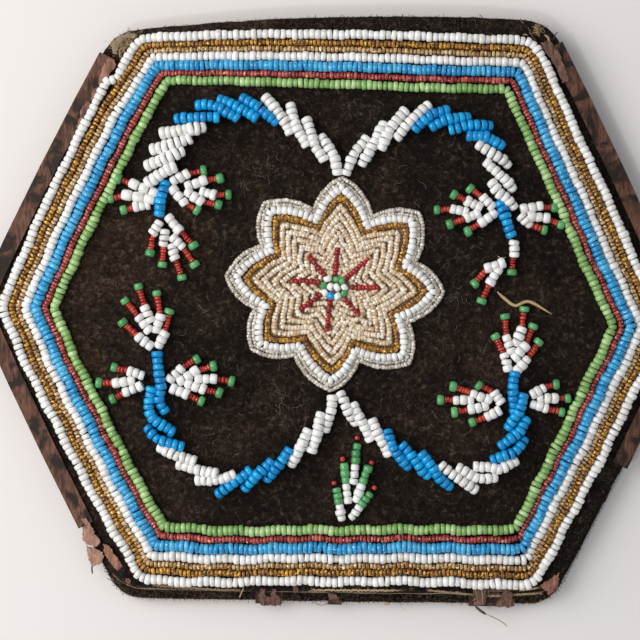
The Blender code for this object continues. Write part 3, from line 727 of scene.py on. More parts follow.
def fibre_stuff(name, dark, light):
    """Matt thread or lint that differs from strand to strand."""
    made, tree, shader = new_material(name, Roughness=0.85)
    lots = node(tree, "ShaderNodeNewGeometry")
    tone = ramp(tree, lots.outputs["Random Per Island"], ((0.0, dark), (1.0, light)))
    fleck = ramp(tree, noise(tree, 2500, 2), ((0.3, (0.7, 0.7, 0.7)), (0.7, (1, 1, 1))))
    tree.links.new(mixed(tree, 1.0, tone, fleck, "MULTIPLY"), shader.inputs["Base Color"])
    return made


# Glass colours: every glint colour below is a painted highlight, and every flank colour is painted
# shade on the beads' sides.
WHITE = bead_glass("white_glass", ((0, (0.80, 0.77, 0.73)), (0.5, (0.88, 0.865, 0.84)),
                                   (1, (0.93, 0.92, 0.90))), 0.25, subsurface=0.2)
AMBER = bead_glass("amber_glass", ((0, (0.12, 0.038, 0.002)), (0.5, (0.25, 0.092, 0.004)),
                                   (0.85, (0.38, 0.155, 0.006)), (1, (0.60, 0.28, 0.014))),
                   0.10, coat=0.3, painted_side_shade=(0.085, 0.027, 0.002), painted_glint=(0.95, 0.57, 0.05),
                   painted_glint_from=0.59)
# Painted reflection: a paler, pinker copy of the amber glass for the inner amber row, standing for the
# white beads reflected in it.
AMBER_PAINTED_REFLECTION = bead_glass("amber_glass_painted_reflection", ((0, (0.22, 0.100, 0.022)), (0.5, (0.42, 0.235, 0.080)),
                                             (1, (0.66, 0.45, 0.24))),
                        0.10, coat=0.3, painted_side_shade=(0.14, 0.062, 0.018), painted_glint=(0.96, 0.77, 0.48),
                        painted_glint_from=0.60)
SKY = bead_glass("border_blue_glass", ((0, (0.012, 0.26, 0.57)), (0.6, (0.034, 0.37, 0.70)),
                                       (1, (0.09, 0.47, 0.78))), 0.12,
                 painted_glint=(0.32, 0.70, 0.90), painted_glint_from=0.63)
WINE = bead_glass("wine_glass", ((0, (0.18, 0.015, 0.015)), (0.6, (0.36, 0.042, 0.038)),
                                 (1, (0.54, 0.115, 0.095))), 0.10,
                  painted_glint=(0.86, 0.44, 0.36), painted_glint_from=0.62)
LEAF = bead_glass("leaf_glass", ((0, (0.20, 0.38, 0.10)), (0.6, (0.31, 0.52, 0.18)),
                                 (1, (0.50, 0.70, 0.32))), 0.14)
CLEAR = bead_glass("clear_glass", ((0, (0.36, 0.30, 0.235)), (0.5, (0.52, 0.465, 0.39)),
                                   (1, (0.74, 0.69, 0.62))), 0.10, coat=0.4,
                   painted_side_shade=(0.24, 0.19, 0.145), painted_glint=(0.97, 0.94, 0.88), painted_glint_from=0.58)
BLUSH = bead_glass("blush_glass", ((0, (0.50, 0.33, 0.18)), (0.4, (0.64, 0.455, 0.275)),
                                   (0.85, (0.76, 0.59, 0.39)), (1, (0.90, 0.77, 0.58))),
                   0.12, coat=0.3, painted_side_shade=(0.40, 0.25, 0.132), painted_glint=(1.0, 0.96, 0.88),
                   painted_glint_from=0.57)
# Paler copy of the blush glass: partly lighter beads, partly a painted highlight.
PALE_BLUSH_PAINTED_HIGHLIGHT = bead_glass("pale_blush_painted_highlight_glass", ((0, (0.60, 0.43, 0.27)), (0.5, (0.76, 0.60, 0.42)),
                                             (1, (0.90, 0.79, 0.64))),
                        0.12, coat=0.3, painted_side_shade=(0.44, 0.29, 0.165), painted_glint=(1.0, 0.98, 0.92),
                        painted_glint_from=0.57)
KNOT_CLOTH = fibre_stuff("knot_cloth", (0.24, 0.17, 0.105), (0.34, 0.25, 0.16))
RUBY = bead_glass("ruby_glass", ((0, (0.20, 0.005, 0.006)), (1, (0.44, 0.018, 0.018))), 0.10)
BLUE = bead_glass("spray_blue_glass", ((0, (0.0, 0.22, 0.56)), (0.6, (0.0, 0.32, 0.70)),
                                       (1, (0.005, 0.41, 0.80))), 0.09)
SCARLET = bead_glass("scarlet_glass", ((0, (0.34, 0.016, 0.012)), (1, (0.60, 0.06, 0.035))), 0.09)
JADE = bead_glass("jade_glass", ((0, (0.055, 0.27, 0.085)), (1, (0.13, 0.43, 0.16))), 0.08)
PILE = velvet_cloth()
COTTON = cotton_cloth()
WORN_SILK = silk_cloth("worn_silk", (0.024, 0.012, 0.007), (0.19, 0.084, 0.054), 0.50, 0.02)
RED_SILK = silk_cloth("red_silk", (0.14, 0.060, 0.040), (0.40, 0.195, 0.132), 0.60)
PALE_SILK = silk_cloth("pale_silk", (0.16, 0.080, 0.056), (0.46, 0.265, 0.19), 0.68)
DARK_SILK = silk_cloth("dark_silk", (0.060, 0.029, 0.021), (0.25, 0.135, 0.10), 0.66)
EARTH = fibre_stuff("brown_ground", (0.40, 0.27, 0.165), (0.48, 0.33, 0.21))
LINT = fibre_stuff("lint_fibre", (0.07, 0.055, 0.042), (0.42, 0.37, 0.30))
FUZZ = fibre_stuff("dark_fuzz", (0.012, 0.009, 0.007), (0.17, 0.115, 0.075))
TAN = fibre_stuff("tan_thread", (0.30, 0.19, 0.095), (0.68, 0.49, 0.29))
STRAW = fibre_stuff("straw_stalk", (0.42, 0.29, 0.13), (0.60, 0.45, 0.24))
BEAD_COLOURS = {
    "white_beads": WHITE, "amber_beads": AMBER, "border_blue_beads": SKY,
    "border_red_beads": WINE, "border_green_beads": LEAF, "clear_beads": CLEAR,
    "blush_beads": BLUSH, "blue_beads": BLUE,
}


# Cloth layers
FRAY = 0.0010                    # a cut edge's unevenness, as a share of the distance to the middle
RIM_SHARE = 0.94                 # rings stand closer together outside this share
RIM_RINGS = 4
RIM_CLOSER = 1.2
LAST_RING = 0.03
LINING_PAST_FRONT = 2.5          # px that the front's lining shows past its bottom edge


def cloth_sheet(name, corners, under, thickness, material, slot, steps, rings, setback):
    """Fine sheet in rings drawn in from its outline, thickened upwards."""
    outline = hexagon(corners, BACK_BOWS, CORNER_ROUND, *steps)
    rng = np.random.default_rng(len(name))
    fray = 1 + rng.normal(0, FRAY, len(outline))[:, None]
    outline = outline * (fray - setback)
    shares = np.concatenate([
        1 - (1 - RIM_SHARE) * np.linspace(0, 1, RIM_RINGS) ** RIM_CLOSER,
        np.linspace(RIM_SHARE, LAST_RING, rings)[1:]])
    levels = []
    for index, share in enumerate(shares):
        smoothed = outline if index == 0 else outline / fray
        levels.append(smoothed * share)
    plan = np.concatenate(levels + [np.zeros((1, 2))])
    count = len(outline)
    faces = []
    for ring in range(len(shares) - 1):
        first = ring * count + np.arange(count)
        after = ring * count + (np.arange(count) + 1) % count
        faces += np.stack([first, after, after + count, first + count], axis=1).tolist()
    last = (len(shares) - 1) * count
    faces += [[last + k, last + (k + 1) % count, len(plan) - 1] for k in range(count)]
    vertices = np.column_stack([plan, under(plan)])
    body = mesh_object(name, vertices, faces, [material])
    if body.data.polygons[0].normal.z < 0:
        body.data.flip_normals()
    placed(thickened(body, thickness), (name,))
    low, high = plan.min(0), plan.max(0)
    following = np.roll(outline, -1, 0)
    area = abs(np.sum(outline[:, 0] * following[:, 1] - outline[:, 1] * following[:, 0])) / 2
    return body, tuple(high - low), area


FRONT_CORNERS = moved_bottom(BACK_CORNERS, FRONT_SETBACK)
LINING_CORNERS = moved_bottom(BACK_CORNERS, FRONT_SETBACK - LINING_PAST_FRONT)
# Layers: name, corners, underside, thickness, material, slot, steps on a side and a corner,
# rings, and how far the edge is set back as a share
LAYERS = (
    ("back_velvet", BACK_CORNERS, back_under, VELVET, PILE, "velvet", (40, 6), 22, 0.0),
    ("back_lining", FRONT_CORNERS, back_lining_under, LINING, COTTON, "cotton", (24, 4), 14, 0.008),
    ("front_lining", LINING_CORNERS, front_lining_under, LINING, COTTON, "cotton", (24, 4), 14,
     0.002),
    ("front_velvet", FRONT_CORNERS, front_under, VELVET, PILE, "velvet", (46, 6), 32, 0.0),
)
for layer in LAYERS:
    sheet, flat, area = cloth_sheet(*layer)


# Border rows
def tucked(outline, left, right, fade):
    """A row's outline, drawn in at the folded upper left corner and at the upper right one."""
    down = MIDDLE[1] - outline[:, 1] / PX
    across = outline[:, 0] / PX + MIDDLE[0]
    along_left = np.clip((ROW_OUTER[0][0] + TUCK_ALONG - across) / TUCK_ALONG, 0, 1)
    along_right = np.clip((across - ROW_OUTER[1][0] + TUCK_ALONG) / TUCK_ALONG, 0, 1)
    fade_left = np.clip((fade[1] - down) / (fade[1] - fade[0]), 0, 1)
    fade_right = np.clip((TUCK_RIGHT_FADE[1] - down) / (TUCK_RIGHT_FADE[1] - TUCK_RIGHT_FADE[0]), 0, 1)
    shift = left * along_left * fade_left + right * along_right * fade_right
    return outline + np.column_stack([shift, np.zeros(len(shift))]) * PX


for number, (name, share, diameter, pitch, slot, left, right) in enumerate(BORDER):
    corners = [tuple(np.array(a) + (np.array(b) - a) * share) for a, b in zip(ROW_OUTER, ROW_INNER)]
    bows = [a + (b - a) * share for a, b in zip(ROW_BOWS_OUTER, ROW_BOWS_INNER)]
    rounding = ROW_ROUND + (ROW_SHARP - ROW_ROUND) * min(share * 2, 1)
    outline = hexagon(corners, bows, rounding, side_steps=ROW_STEPS)
    outline = tucked(outline, left, right, TUCK_FADE if number else TUCK_JOG)
    points, along = resampled(outline, pitch, closed=True)
    points = wandering(points, along, ROW_WANDER, WANDER_SEED)
    row = row_beads(name, 20 + number, diameter)
    row.add(points, along, diameter * (FULLER - points[:, 1] * FULLER_DOWN), pitch * TOUCHING, 0)
    # The inner amber row takes the amber copy with the painted reflection.
    row.build([AMBER_PAINTED_REFLECTION if name == "border_amber_inner" else BEAD_COLOURS[slot]], slot, (name,))


# Star
def polar(radius, degrees):
    angle = math.radians(degrees)
    return at(STAR_MIDDLE) + np.array((math.cos(angle), math.sin(angle))) * radius * PX


def star_outline(tip_inset, notch_inset):
    """Eight bulging petals as one closed line, slimmer towards the middle."""
    line = []
    slim = max(PETAL_BOW * (1 - tip_inset / SLIMMING), PETAL_LEAST)
    for index, (tip, notch) in enumerate(zip(STAR_TIPS, STAR_NOTCHES)):
        next_tip = STAR_TIPS[(index + 1) % 8]
        marks = (polar(tip[0] - tip_inset, tip[1]), polar(notch[0] - notch_inset, notch[1]),
                 polar(next_tip[0] - tip_inset, next_tip[1]))
        for start, end in zip(marks, marks[1:]):
            bow = -slim * np.hypot(*(end - start)) / PX
            line.append(bowed(start, end, bow, np.linspace(0, 1, PETAL_STEPS, endpoint=False)))
    return np.concatenate(line)


for number, (name, tips, notches, diameter, pitch, slot, stands_for) in enumerate(STAR_ROWS):
    points, along = resampled(star_outline(tips, notches), pitch, closed=True)
    if slot == "blush_beads":
        points = wandering(points, along, STAR_WANDER, 40 + number)
    row = row_beads(name, 60 + number, diameter)
    row.add(points, along, diameter, pitch * (TOUCHING if diameter > LARGE_FROM else STRUNG_TIGHT), 0)
    glass = PALE_BLUSH_PAINTED_HIGHLIGHT if name in PALE_PAINTED_HIGHLIGHT_ROWS else BEAD_COLOURS[slot]
    row.build([glass], slot, (stands_for,) if stands_for else ())

ground_line, _ = resampled(star_outline(*GROUND_INSETS), GROUND_STEP, closed=True)
ground_plan = np.vstack([ground_line, at(STAR_MIDDLE)[None]])
ground_count = len(ground_line)
ground_faces = np.stack([np.arange(ground_count), (np.arange(ground_count) + 1) % ground_count,
                         np.full(ground_count, ground_count)], axis=1)
ground = mesh_object("star_ground", np.column_stack([ground_plan, front_top(ground_plan)]),
                     ground_faces, [EARTH], smooth=False)
placed(thickened(ground, GROUND_THICKNESS))

rays = Beads("star_rays", 80, RAY_SIDES)
for ray in RAYS:
    points, along = resampled(at(ray), RAY_PITCH)
    rays.add(points, along, RAY_BEAD, RAY_PITCH * TOUCHING, 0, lift=GROUND_THICKNESS)
rays.build([RUBY], "ray_beads", ("star_rays",))

heart = Beads("star_heart", 81, *LARGE_BEADS)
for colour, group in enumerate((HEART_WHITE, HEART_GREEN, HEART_BLUE)):
    places = at(group)
    outward = places - at(STAR_MIDDLE)
    outward = outward / np.hypot(*outward.T)[:, None]
    for place, along in zip(places, outward):
        heart.add(place[None], along[None], *HEART_BEAD, colour, lift=HEART_LIFT, tilt=HEART_TILT)
heart.build([WHITE, JADE, BLUE], "white_beads", ("star_heart",))


# Sprays
def arch(count, height):
    """Rise of a string that is longer than its span."""
    return height * np.sin(np.linspace(0, math.pi, count)) ** ARCH_POWER


def smooth_path(marks, steps=8):
    """Smooth curve through a few plan points."""
    if len(marks) < 3:
        return marks
    ends = np.vstack([2 * marks[0] - marks[1], marks, 2 * marks[-1] - marks[-2]])
    share = np.linspace(0, 1, steps, endpoint=False)[:, None]
    curve = []
    for a, b, c, d in zip(ends, ends[1:], ends[2:], ends[3:]):
        curve.append(b + 0.5 * share * (c - a) + share ** 2 * (a - 2.5 * b + 2 * c - 0.5 * d)
                     + share ** 3 * (1.5 * (b - c) + 0.5 * (d - a)))
    return np.vstack(curve + [marks[-1:]])


def lane_lift(points):
    """Lane that arches and climbs towards the star."""
    climb = np.linspace(0, 1, len(points))
    away = np.hypot(*(points - at(STAR_MIDDLE)).T)
    if away[0] < away[-1]:
        climb = climb[::-1]
    return LANE_RISE * climb ** CLIMB_POWER + arch(len(points), LANE_ARCH)


for number, (name, slot, lanes) in enumerate(SPRAY_RUNS):
    run = Beads(name, 100 + number, SPRAY_SIDES)
    for lane in lanes:
        diameter, pitch = LANE_WHITE if slot == "white_beads" else LANE_BLUE
        if name.endswith("stem") and lane is lanes[0]:
            diameter, pitch = STEM_BLUE
        elif name == "upper_left_far":
            diameter, pitch = LANE_WIDE
        points, along = resampled(smooth_path(at(lane)), pitch)
        run.add(points, along, diameter, pitch * TOUCHING, 0, lift=lane_lift(points))
    run.build([BEAD_COLOURS[slot]], slot, (name,))

for number, (name, fingers) in enumerate(SPRAY_FANS):
    spray = Beads(name, 200 + number, SPRAY_SIDES)
    for finger in fingers:
        first, last, tip = at(finger)
        along = (last - first) / np.hypot(*(last - first))
        white = first + (last - first) * np.linspace(0, 1, FAN_WHITE_COUNT)[:, None]
        white_length = np.hypot(*(last - first)) / (FAN_WHITE_COUNT - 1) * TOUCHING
        neck = tip - last
        direction = neck / np.hypot(*neck)
        start = last + direction * (white_length + FAN_RED_PITCH) / 2
        end = tip - direction * (FAN_TIP[1] + FAN_RED_PITCH) / 2
        count = max(int(round(np.hypot(*(end - start)) / FAN_RED_PITCH)) + 1, 2)
        red = start + (end - start) * np.linspace(0, 1, count)[:, None]
        red_length = np.hypot(*(red[1] - red[0]))
        spray.add(white, np.tile(along, (FAN_WHITE_COUNT, 1)), FAN_WHITE, white_length, 0,
                  lift=arch(FAN_WHITE_COUNT + 2, FAN_ARCH)[1:-1])
        spray.add(red, np.tile(direction, (count, 1)), FAN_RED, red_length, 1, lift=FAN_RED_LIFT)
        spray.add(tip[None], direction[None], *FAN_TIP, 2)
    spray.build([WHITE, SCARLET, JADE], "fan_beads", (name,))

plant = Beads("plant", 230, SPRAY_SIDES)
for finger in PLANT:
    first, last, tip = at(finger)
    beads, along = resampled(np.array([first, last]), np.hypot(*(last - first)) / PLANT_STEPS)
    length = np.hypot(*(beads[1] - beads[0])) * PLANT_TOUCHING
    for colour, some in enumerate((slice(0, PLANT_WHITES), slice(PLANT_WHITES, None))):
        plant.add(beads[some], along[some], PLANT_BEAD, length, colour, lift=PLANT_LIFT)
    plant.add(tip[None], along[-1:], *PLANT_TIP, 2)
plant.build([WHITE, JADE, SCARLET], "plant_beads", ("plant",))

# Ribbon: the part's own folded solids, worn nearly bare
for cad_name in ("ribbon_left", "ribbon_right", "ribbon_remnant_1", "ribbon_remnant_2",
                 "ribbon_remnant_3"):
    cad_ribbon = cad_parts[cad_name]
    cad_ribbon.data.materials.clear()
    cad_ribbon.data.materials.append(WORN_SILK)

# Silk remnants that lie over the rim, each by its outline in pixels
PATCH_STEP = 0.45 * MM
PATCH_EDGE_STEP = 0.35 * MM
PATCH_THICKNESS = 0.16 * MM
PATCH_RUMPLE = 0.7 * MM
RUMPLE_WAVES = (1.9 * MM, 3.1 * MM, 5.3 * MM)
PATCH_FRAY = 0.13 * MM
PATCH_BOTTOM = at((0, 583))[1]   # patches above this line lie on the ribbon that binds the rim
OVER_RIBBON = 1.0 * MM
OVER_FRONT = 0.08 * MM
HANG = 0.9                       # drop of cloth over each metre that it reaches past the front
HANG_MOST = 2.5 * MM
PATCHES = (
    ("silk_flap_1", PALE_SILK, (
        (81.8, 518.8), (85.4, 517.9), (88.9, 521.4), (92.5, 528.6), (95.2, 534.8), (101, 541),
        (97, 546.4), (92.5, 547.3), (85.4, 544.6), (81.8, 542))),
    ("silk_flap_2", PALE_SILK, (
        (85.4, 546), (93.4, 548.8), (102.3, 551.4), (103.2, 558), (101.4, 562.5), (97, 566),
        (93.4, 567), (88.9, 566), (86.3, 557))),
    ("silk_strip", RED_SILK, (
        (102.6, 544), (106, 543.5), (112, 551), (119, 560), (122, 567), (117, 571),
        (110, 563), (104.6, 555))),
    ("silk_scrap", DARK_SILK, ((124.6, 579), (129, 578.6), (131, 582), (130, 585.7), (126, 585))),
    ("silk_knot", KNOT_CLOTH, (
        (112, 52), (112, 43), (118, 36), (128, 32.5), (137, 34.5), (134, 38.5), (127, 38.5),
        (120.5, 42.5), (118, 48), (117, 54))),
    ("silk_rim_1", RED_SILK, (
        (109, 57), (115, 60), (116, 66), (111, 72), (107, 79), (103, 86), (98, 84), (100, 76),
        (102, 68), (105, 61))),
    ("silk_rim_2", RED_SILK, (
        (96, 87), (101, 88.5), (100, 95), (95, 102), (91, 100), (92, 93))),
    ("silk_rim_3", RED_SILK, (
        (87, 101), (92, 104), (90, 112), (86, 121), (82, 131), (77, 129), (79, 119), (81, 109))),
    ("silk_band", DARK_SILK, (
        (541, 43), (548, 40), (558, 50), (564.5, 64), (569.5, 80), (563, 84), (557, 70),
        (550.5, 58), (543.5, 50))),
    ("silk_remnant_1", DARK_SILK, (
        (257.9, 597.9), (260.2, 588.7), (264.8, 588.7), (265.4, 597.9), (270.5, 599),
        (272.8, 589.8), (275.1, 589.8), (276.3, 595.6), (279.7, 597.9), (280.3, 607.6),
        (263.6, 607.6), (259, 605.9))),
    ("silk_bit", DARK_SILK, ((292.9, 586), (297, 585.5), (298, 592), (294, 593.7))),
    ("silk_remnant_2", DARK_SILK, (
        (328.5, 594.4), (334.8, 594.4), (339.4, 599), (338.3, 602.5), (329, 602.5))),
    ("silk_remnant_3", DARK_SILK, (
        (473, 586), (484, 585), (487.5, 597), (486.7, 607.3), (476, 607.3), (473.7, 597))),
    ("silk_remnant_4", DARK_SILK, (
        (503.5, 589), (509.6, 588), (513.5, 597), (513.3, 608.9), (495.5, 608.7), (502, 600))),
    ("silk_strip_low", DARK_SILK, (
        (488, 586.5), (502, 586), (517, 584.5), (521, 588), (514.5, 590.5), (502.5, 592),
        (488.5, 593))),
    ("silk_corner", RED_SILK, ((541, 586), (551, 579), (560, 573), (558.5, 588.5), (550.2, 596.6))),
)


def draped(points):
    """Height of the front's surface, falling away where cloth reaches past its edge."""
    corners = at(FRONT_CORNERS)
    past = np.zeros(points.shape[:-1])
    for side in range(1, 6):
        past = np.maximum(past, -inside_of(points, corners[side], corners[(side + 1) % 6]))
    return front_top(points) - np.minimum(past * HANG, HANG_MOST)


def rumple(plan, seed):
    """Slow waves, from nought up to one."""
    rng = np.random.default_rng(seed)
    height = np.zeros(len(plan))
    for length in RUMPLE_WAVES:
        heading = rng.uniform(0, 2 * math.pi)
        run = plan @ np.array((math.cos(heading), math.sin(heading)))
        height += np.sin(run * 2 * math.pi / length + rng.uniform(0, 2 * math.pi))
    return (height / len(RUMPLE_WAVES) + 1) / 2


def silk_patch(name, material, marks, seed):
    """Small torn scrap that lies over the rim, narrower than a declared sheet may be."""
    rng = np.random.default_rng(seed)
    line, along = resampled(at(marks), PATCH_EDGE_STEP, closed=True)
    side = np.column_stack([-along[:, 1], along[:, 0]])
    line = line + side * rng.normal(0, PATCH_FRAY, len(line))[:, None]
    low, high = line.min(0), line.max(0)
    grid = np.stack(np.meshgrid(np.arange(low[0], high[0], PATCH_STEP),
                                np.arange(low[1], high[1], PATCH_STEP)), axis=-1).reshape(-1, 2)
    edges = [(k, (k + 1) % len(line)) for k in range(len(line))]
    plan, _, faces = delaunay_2d_cdt([Vector(place) for place in np.vstack([line, grid])],
                                     edges, [], 1, 1e-7)[:3]
    plan = np.array([tuple(place) for place in plan])
    used = sorted({corner for face in faces for corner in face})
    renamed = {old: new for new, old in enumerate(used)}
    faces = [[renamed[corner] for corner in face] for face in faces]
    plan = plan[used]
    lift = OVER_RIBBON if min(line[:, 1]) > PATCH_BOTTOM else OVER_FRONT
    height = draped(plan) + lift + rumple(plan, seed) * PATCH_RUMPLE
    scrap = mesh_object(name, np.column_stack([plan, height]), faces, [material])
    placed(thickened(scrap, PATCH_THICKNESS))


for number, (name, material, marks) in enumerate(PATCHES):
    silk_patch(name, material, marks, 300 + number)

# Threads, knots, lint and frayed edges.  Thread: stuff, radius and lift in mm, its pixels
STUFFS = {"tan": TAN, "dark": FUZZ, "pile": FUZZ, "lint": LINT, "straw": STRAW}
THREADS = (
    ("straw", 0.42, 0.9, ((496.4, 291.8), (505, 299.5), (514.8, 305.6), (528.6, 301.8), (550.8, 314))),
    ("tan", 0.16, 0.5, ((496.4, 255.9), (501, 258.5), (505.6, 257.4))),
    ("tan", 0.30, 0.8, ((544.7, 34), (548.8, 37.4), (549.7, 41.5), (553.8, 44.8))),
    ("tan", 0.20, 0.6, ((523, 35), (525.6, 34), (528, 35.5))),
    ("tan", 0.16, 0.5, ((243.9, 587.6), (241, 594), (238.8, 599.8))),
    ("tan", 0.13, 0.5, ((313, 603), (318, 606.5), (324, 606.8), (328, 603.5), (322, 602.3))),
    ("tan", 0.35, 0.4, ((384, 604.2), (387, 606), (390, 605))),
    ("tan", 0.12, 0.7, ((104, 546), (110, 554), (118, 566))),
    ("tan", 0.10, 0.8, ((106, 545.5), (113, 555.5), (119.5, 564))),
    ("tan", 0.12, 0.7, ((475.5, 587), (477, 597), (480, 606))),
    ("tan", 0.10, 0.7, ((480, 586), (483, 596), (484, 606))),
    ("dark", 0.22, 1.4, ((122, 36), (127, 32.5), (132, 31.5), (138, 35))),
    ("dark", 0.16, 1.0, ((528, 26.6), (532, 35), (538, 43.2))),
    ("dark", 0.13, 0.6, ((558.8, 30.7), (556, 34), (554.6, 39))),
    ("dark", 0.20, 0.5, ((520.6, 18.3), (522, 21), (524.8, 23.3))),
    ("dark", 0.34, 0.3, ((476, 608), (482, 613), (487.4, 616.5))),
    ("dark", 0.10, 0.2, ((486, 615.5), (498.1, 621.1), (503.5, 624.2), (509.6, 629.5))),
    ("dark", 0.20, 0.3, ((90.7, 566), (90.3, 571), (90.9, 575.9))),
)
# Knots: stuff, thread radius in mm, middle and radius in pixels, turns
KNOTS = (
    ("tan", 0.10, (117.5, 43), 8.0, 9), ("tan", 0.10, (126, 40), 8.5, 9),
    ("tan", 0.09, (132, 38.5), 6.5, 6), ("tan", 0.09, (119, 49), 6.0, 6),
    ("tan", 0.10, (538, 28.2), 4.6, 9),
)
TIP_WIDTH = 0.3                  # a strand's radius at its ends, as a share
TAPER = 4
THREAD_SIDES = 7
CORD_SIDES = 5
HAIR_SIDES = 3
KNOT_MARKS = 3                   # marks to a turn, and steps between marks
KNOT_STEPS = 6
KNOT_SWELL = 0.55                # scatter of a knot's turns, as a share of its radius
KNOT_FLATNESS = 0.6
KNOT_LIFT = 0.4 * MM
KNOT_FIBRES = 24
KNOT_HAIR_SPREAD = 0.45
# Lint: middle in pixels, spread in pixels, hairs
LINT_SPOTS = (
    ((265, 172), 11, 22), ((283, 405), 12, 26), ((223, 435), 14, 22), ((296, 424), 9, 12),
    ((490, 445), 4, 5), ((420, 430), 22, 18), ((455, 330), 24, 14), ((225, 300), 26, 14),
    ((380, 180), 20, 10), ((430, 250), 24, 10), ((240, 230), 22, 12),
)
LINT_SCATTERED = ((330, 300), 95, 170)
# Rim: short hairs that stand off its edge, and pile hairs in a band beside it, sizes in mm
RIM_PITCH = 0.24 * MM
RIM_HEADINGS = 0.9
RIM_SHORTEST = 0.45
RIM_LONGER = 0.22
RIM_INSIDE = 0.25
RIM_TAN_SHARE = 0.6
PILE_BAND = (0.2, 3.2)
PILE_HAIRS_LOW = 3
PILE_LIFT = 0.04 * MM
# Cut edges of the lining: pixels that each runs through
CUT_EDGES = (
    ((153, 586), (200, 589), (220, 590.5), (238, 590.5)), ((312, 590.5), (400, 591)),
    ((430, 591), (440, 592), (472, 595.5)), ((487, 597), (503, 597)), ((514, 596), (540, 594)),
    ((520, 591), (539, 588.5)),
)
CUT_PITCH = 0.16 * MM
CUT_RADIUS = 0.24 * MM
CUT_LIFT = 0.40 * MM
CUT_WAVER = 0.08 * MM
CUT_SCATTER = 0.10 * MM
# Hairs: ranges of length, lift and radius in mm, curl, and steps
KNOT_HAIR = ((0.6, 1.8), (0.1, 0.9), (0.04, 0.09), 0.5, 4)
LINT_HAIR = ((0.8, 3.6), (0.05, 0.25), (0.018, 0.034), 0.45, 7)
RIM_HAIR = (None, (0, 0.8), (0.06, 0.10), 0.5, 3)
PILE_HAIR = ((0.4, 1.1), None, (0.04, 0.07), 0.5, 3)
CUT_HAIR = ((0.6, 1.3), (0.1, 0.4), (0.06, 0.11), 0.15, 3)


class Strands:
    """Gathers closed threads of one stuff into one piece."""

    def __init__(self, name):
        self.name = name
        self.vertices = []
        self.faces = []
        self.count = 0

    def add(self, path, radius, sides=HAIR_SIDES):
        """Tube along points in space, thinner at both ends."""
        along = np.gradient(path, axis=0)
        along /= np.linalg.norm(along, axis=1)[:, None]
        across = np.cross(along, (0.0, 0.0, 1.0)) + (1e-6, 0.0, 0.0)
        across /= np.linalg.norm(across, axis=1)[:, None]
        rise = np.cross(across, along)
        count = len(path)
        shares = np.linspace(0, 1, count)
        radii = radius * np.minimum(1, TIP_WIDTH + TAPER * np.minimum(shares, 1 - shares))
        turn = np.arange(sides) * 2 * math.pi / sides
        ring = (across[:, None] * np.cos(turn)[:, None] + rise[:, None] * np.sin(turn)[:, None])
        self.vertices.append((path[:, None] + ring * radii[:, None, None]).reshape(-1, 3))
        here = np.arange(count - 1)[:, None] * sides + np.arange(sides)
        after = np.arange(count - 1)[:, None] * sides + (np.arange(sides) + 1) % sides
        quads = np.stack([here, here + sides, after + sides, after], axis=-1).reshape(-1, 4)
        self.faces += (quads + self.count).tolist()
        first = list(range(self.count, self.count + sides))
        last = [corner + (count - 1) * sides for corner in first]
        self.faces += [first, last[::-1]]
        self.count += count * sides

    def build(self, material):
        placed(mesh_object(self.name, np.concatenate(self.vertices), self.faces, [material]))


def fibre(rng, place, heading, length, curl, steps):
    """Plan points of one curling hair."""
    headings = heading + np.cumsum(rng.normal(0, curl, steps))
    moves = np.column_stack([np.cos(headings), np.sin(headings)]) * length / steps
    return place + np.vstack([np.zeros((1, 2)), np.cumsum(moves, axis=0)])


def raised(plan, lift):
    return np.column_stack([plan, draped(plan) + lift])


threads = {stuff: Strands(f"{stuff}_threads") for stuff in STUFFS}
for stuff, radius, lift, marks in THREADS:
    path = raised(smooth_path(at(marks)), lift * MM)
    threads[stuff].add(path, radius * MM, THREAD_SIDES)

knot_rng = np.random.default_rng(400)
for stuff, radius, middle, reach, turns in KNOTS:
    tangle = knot_rng.normal(0, KNOT_SWELL, (turns * KNOT_MARKS, 3)) * reach * PX
    tangle[:, 2] = np.abs(tangle[:, 2]) * KNOT_FLATNESS
    path = smooth_path(raised(at([middle] * len(tangle)), KNOT_LIFT) + tangle, KNOT_STEPS)
    threads[stuff].add(path, radius * MM, CORD_SIDES)
    lengths, lifts, radii, curl, steps = KNOT_HAIR
    for _ in range(KNOT_FIBRES):
        place = at(middle) + knot_rng.normal(0, KNOT_HAIR_SPREAD, 2) * reach * PX
        heading = knot_rng.uniform(0, 2 * math.pi)
        plan = fibre(knot_rng, place, heading, knot_rng.uniform(*lengths) * MM, curl, steps)
        threads[stuff].add(raised(plan, knot_rng.uniform(*lifts) * MM), knot_rng.uniform(*radii) * MM)

lint_rng = np.random.default_rng(401)
lengths, lifts, radii, curl, steps = LINT_HAIR
for spot, spread, hairs in (*LINT_SPOTS, LINT_SCATTERED):
    for _ in range(hairs):
        place = at(spot) + lint_rng.normal(0, spread * PX, 2)
        length = lint_rng.uniform(*lengths) * MM
        plan = fibre(lint_rng, place, lint_rng.uniform(0, 2 * math.pi), length, curl, steps)
        threads["lint"].add(raised(plan, lint_rng.uniform(*lifts) * MM), lint_rng.uniform(*radii) * MM)

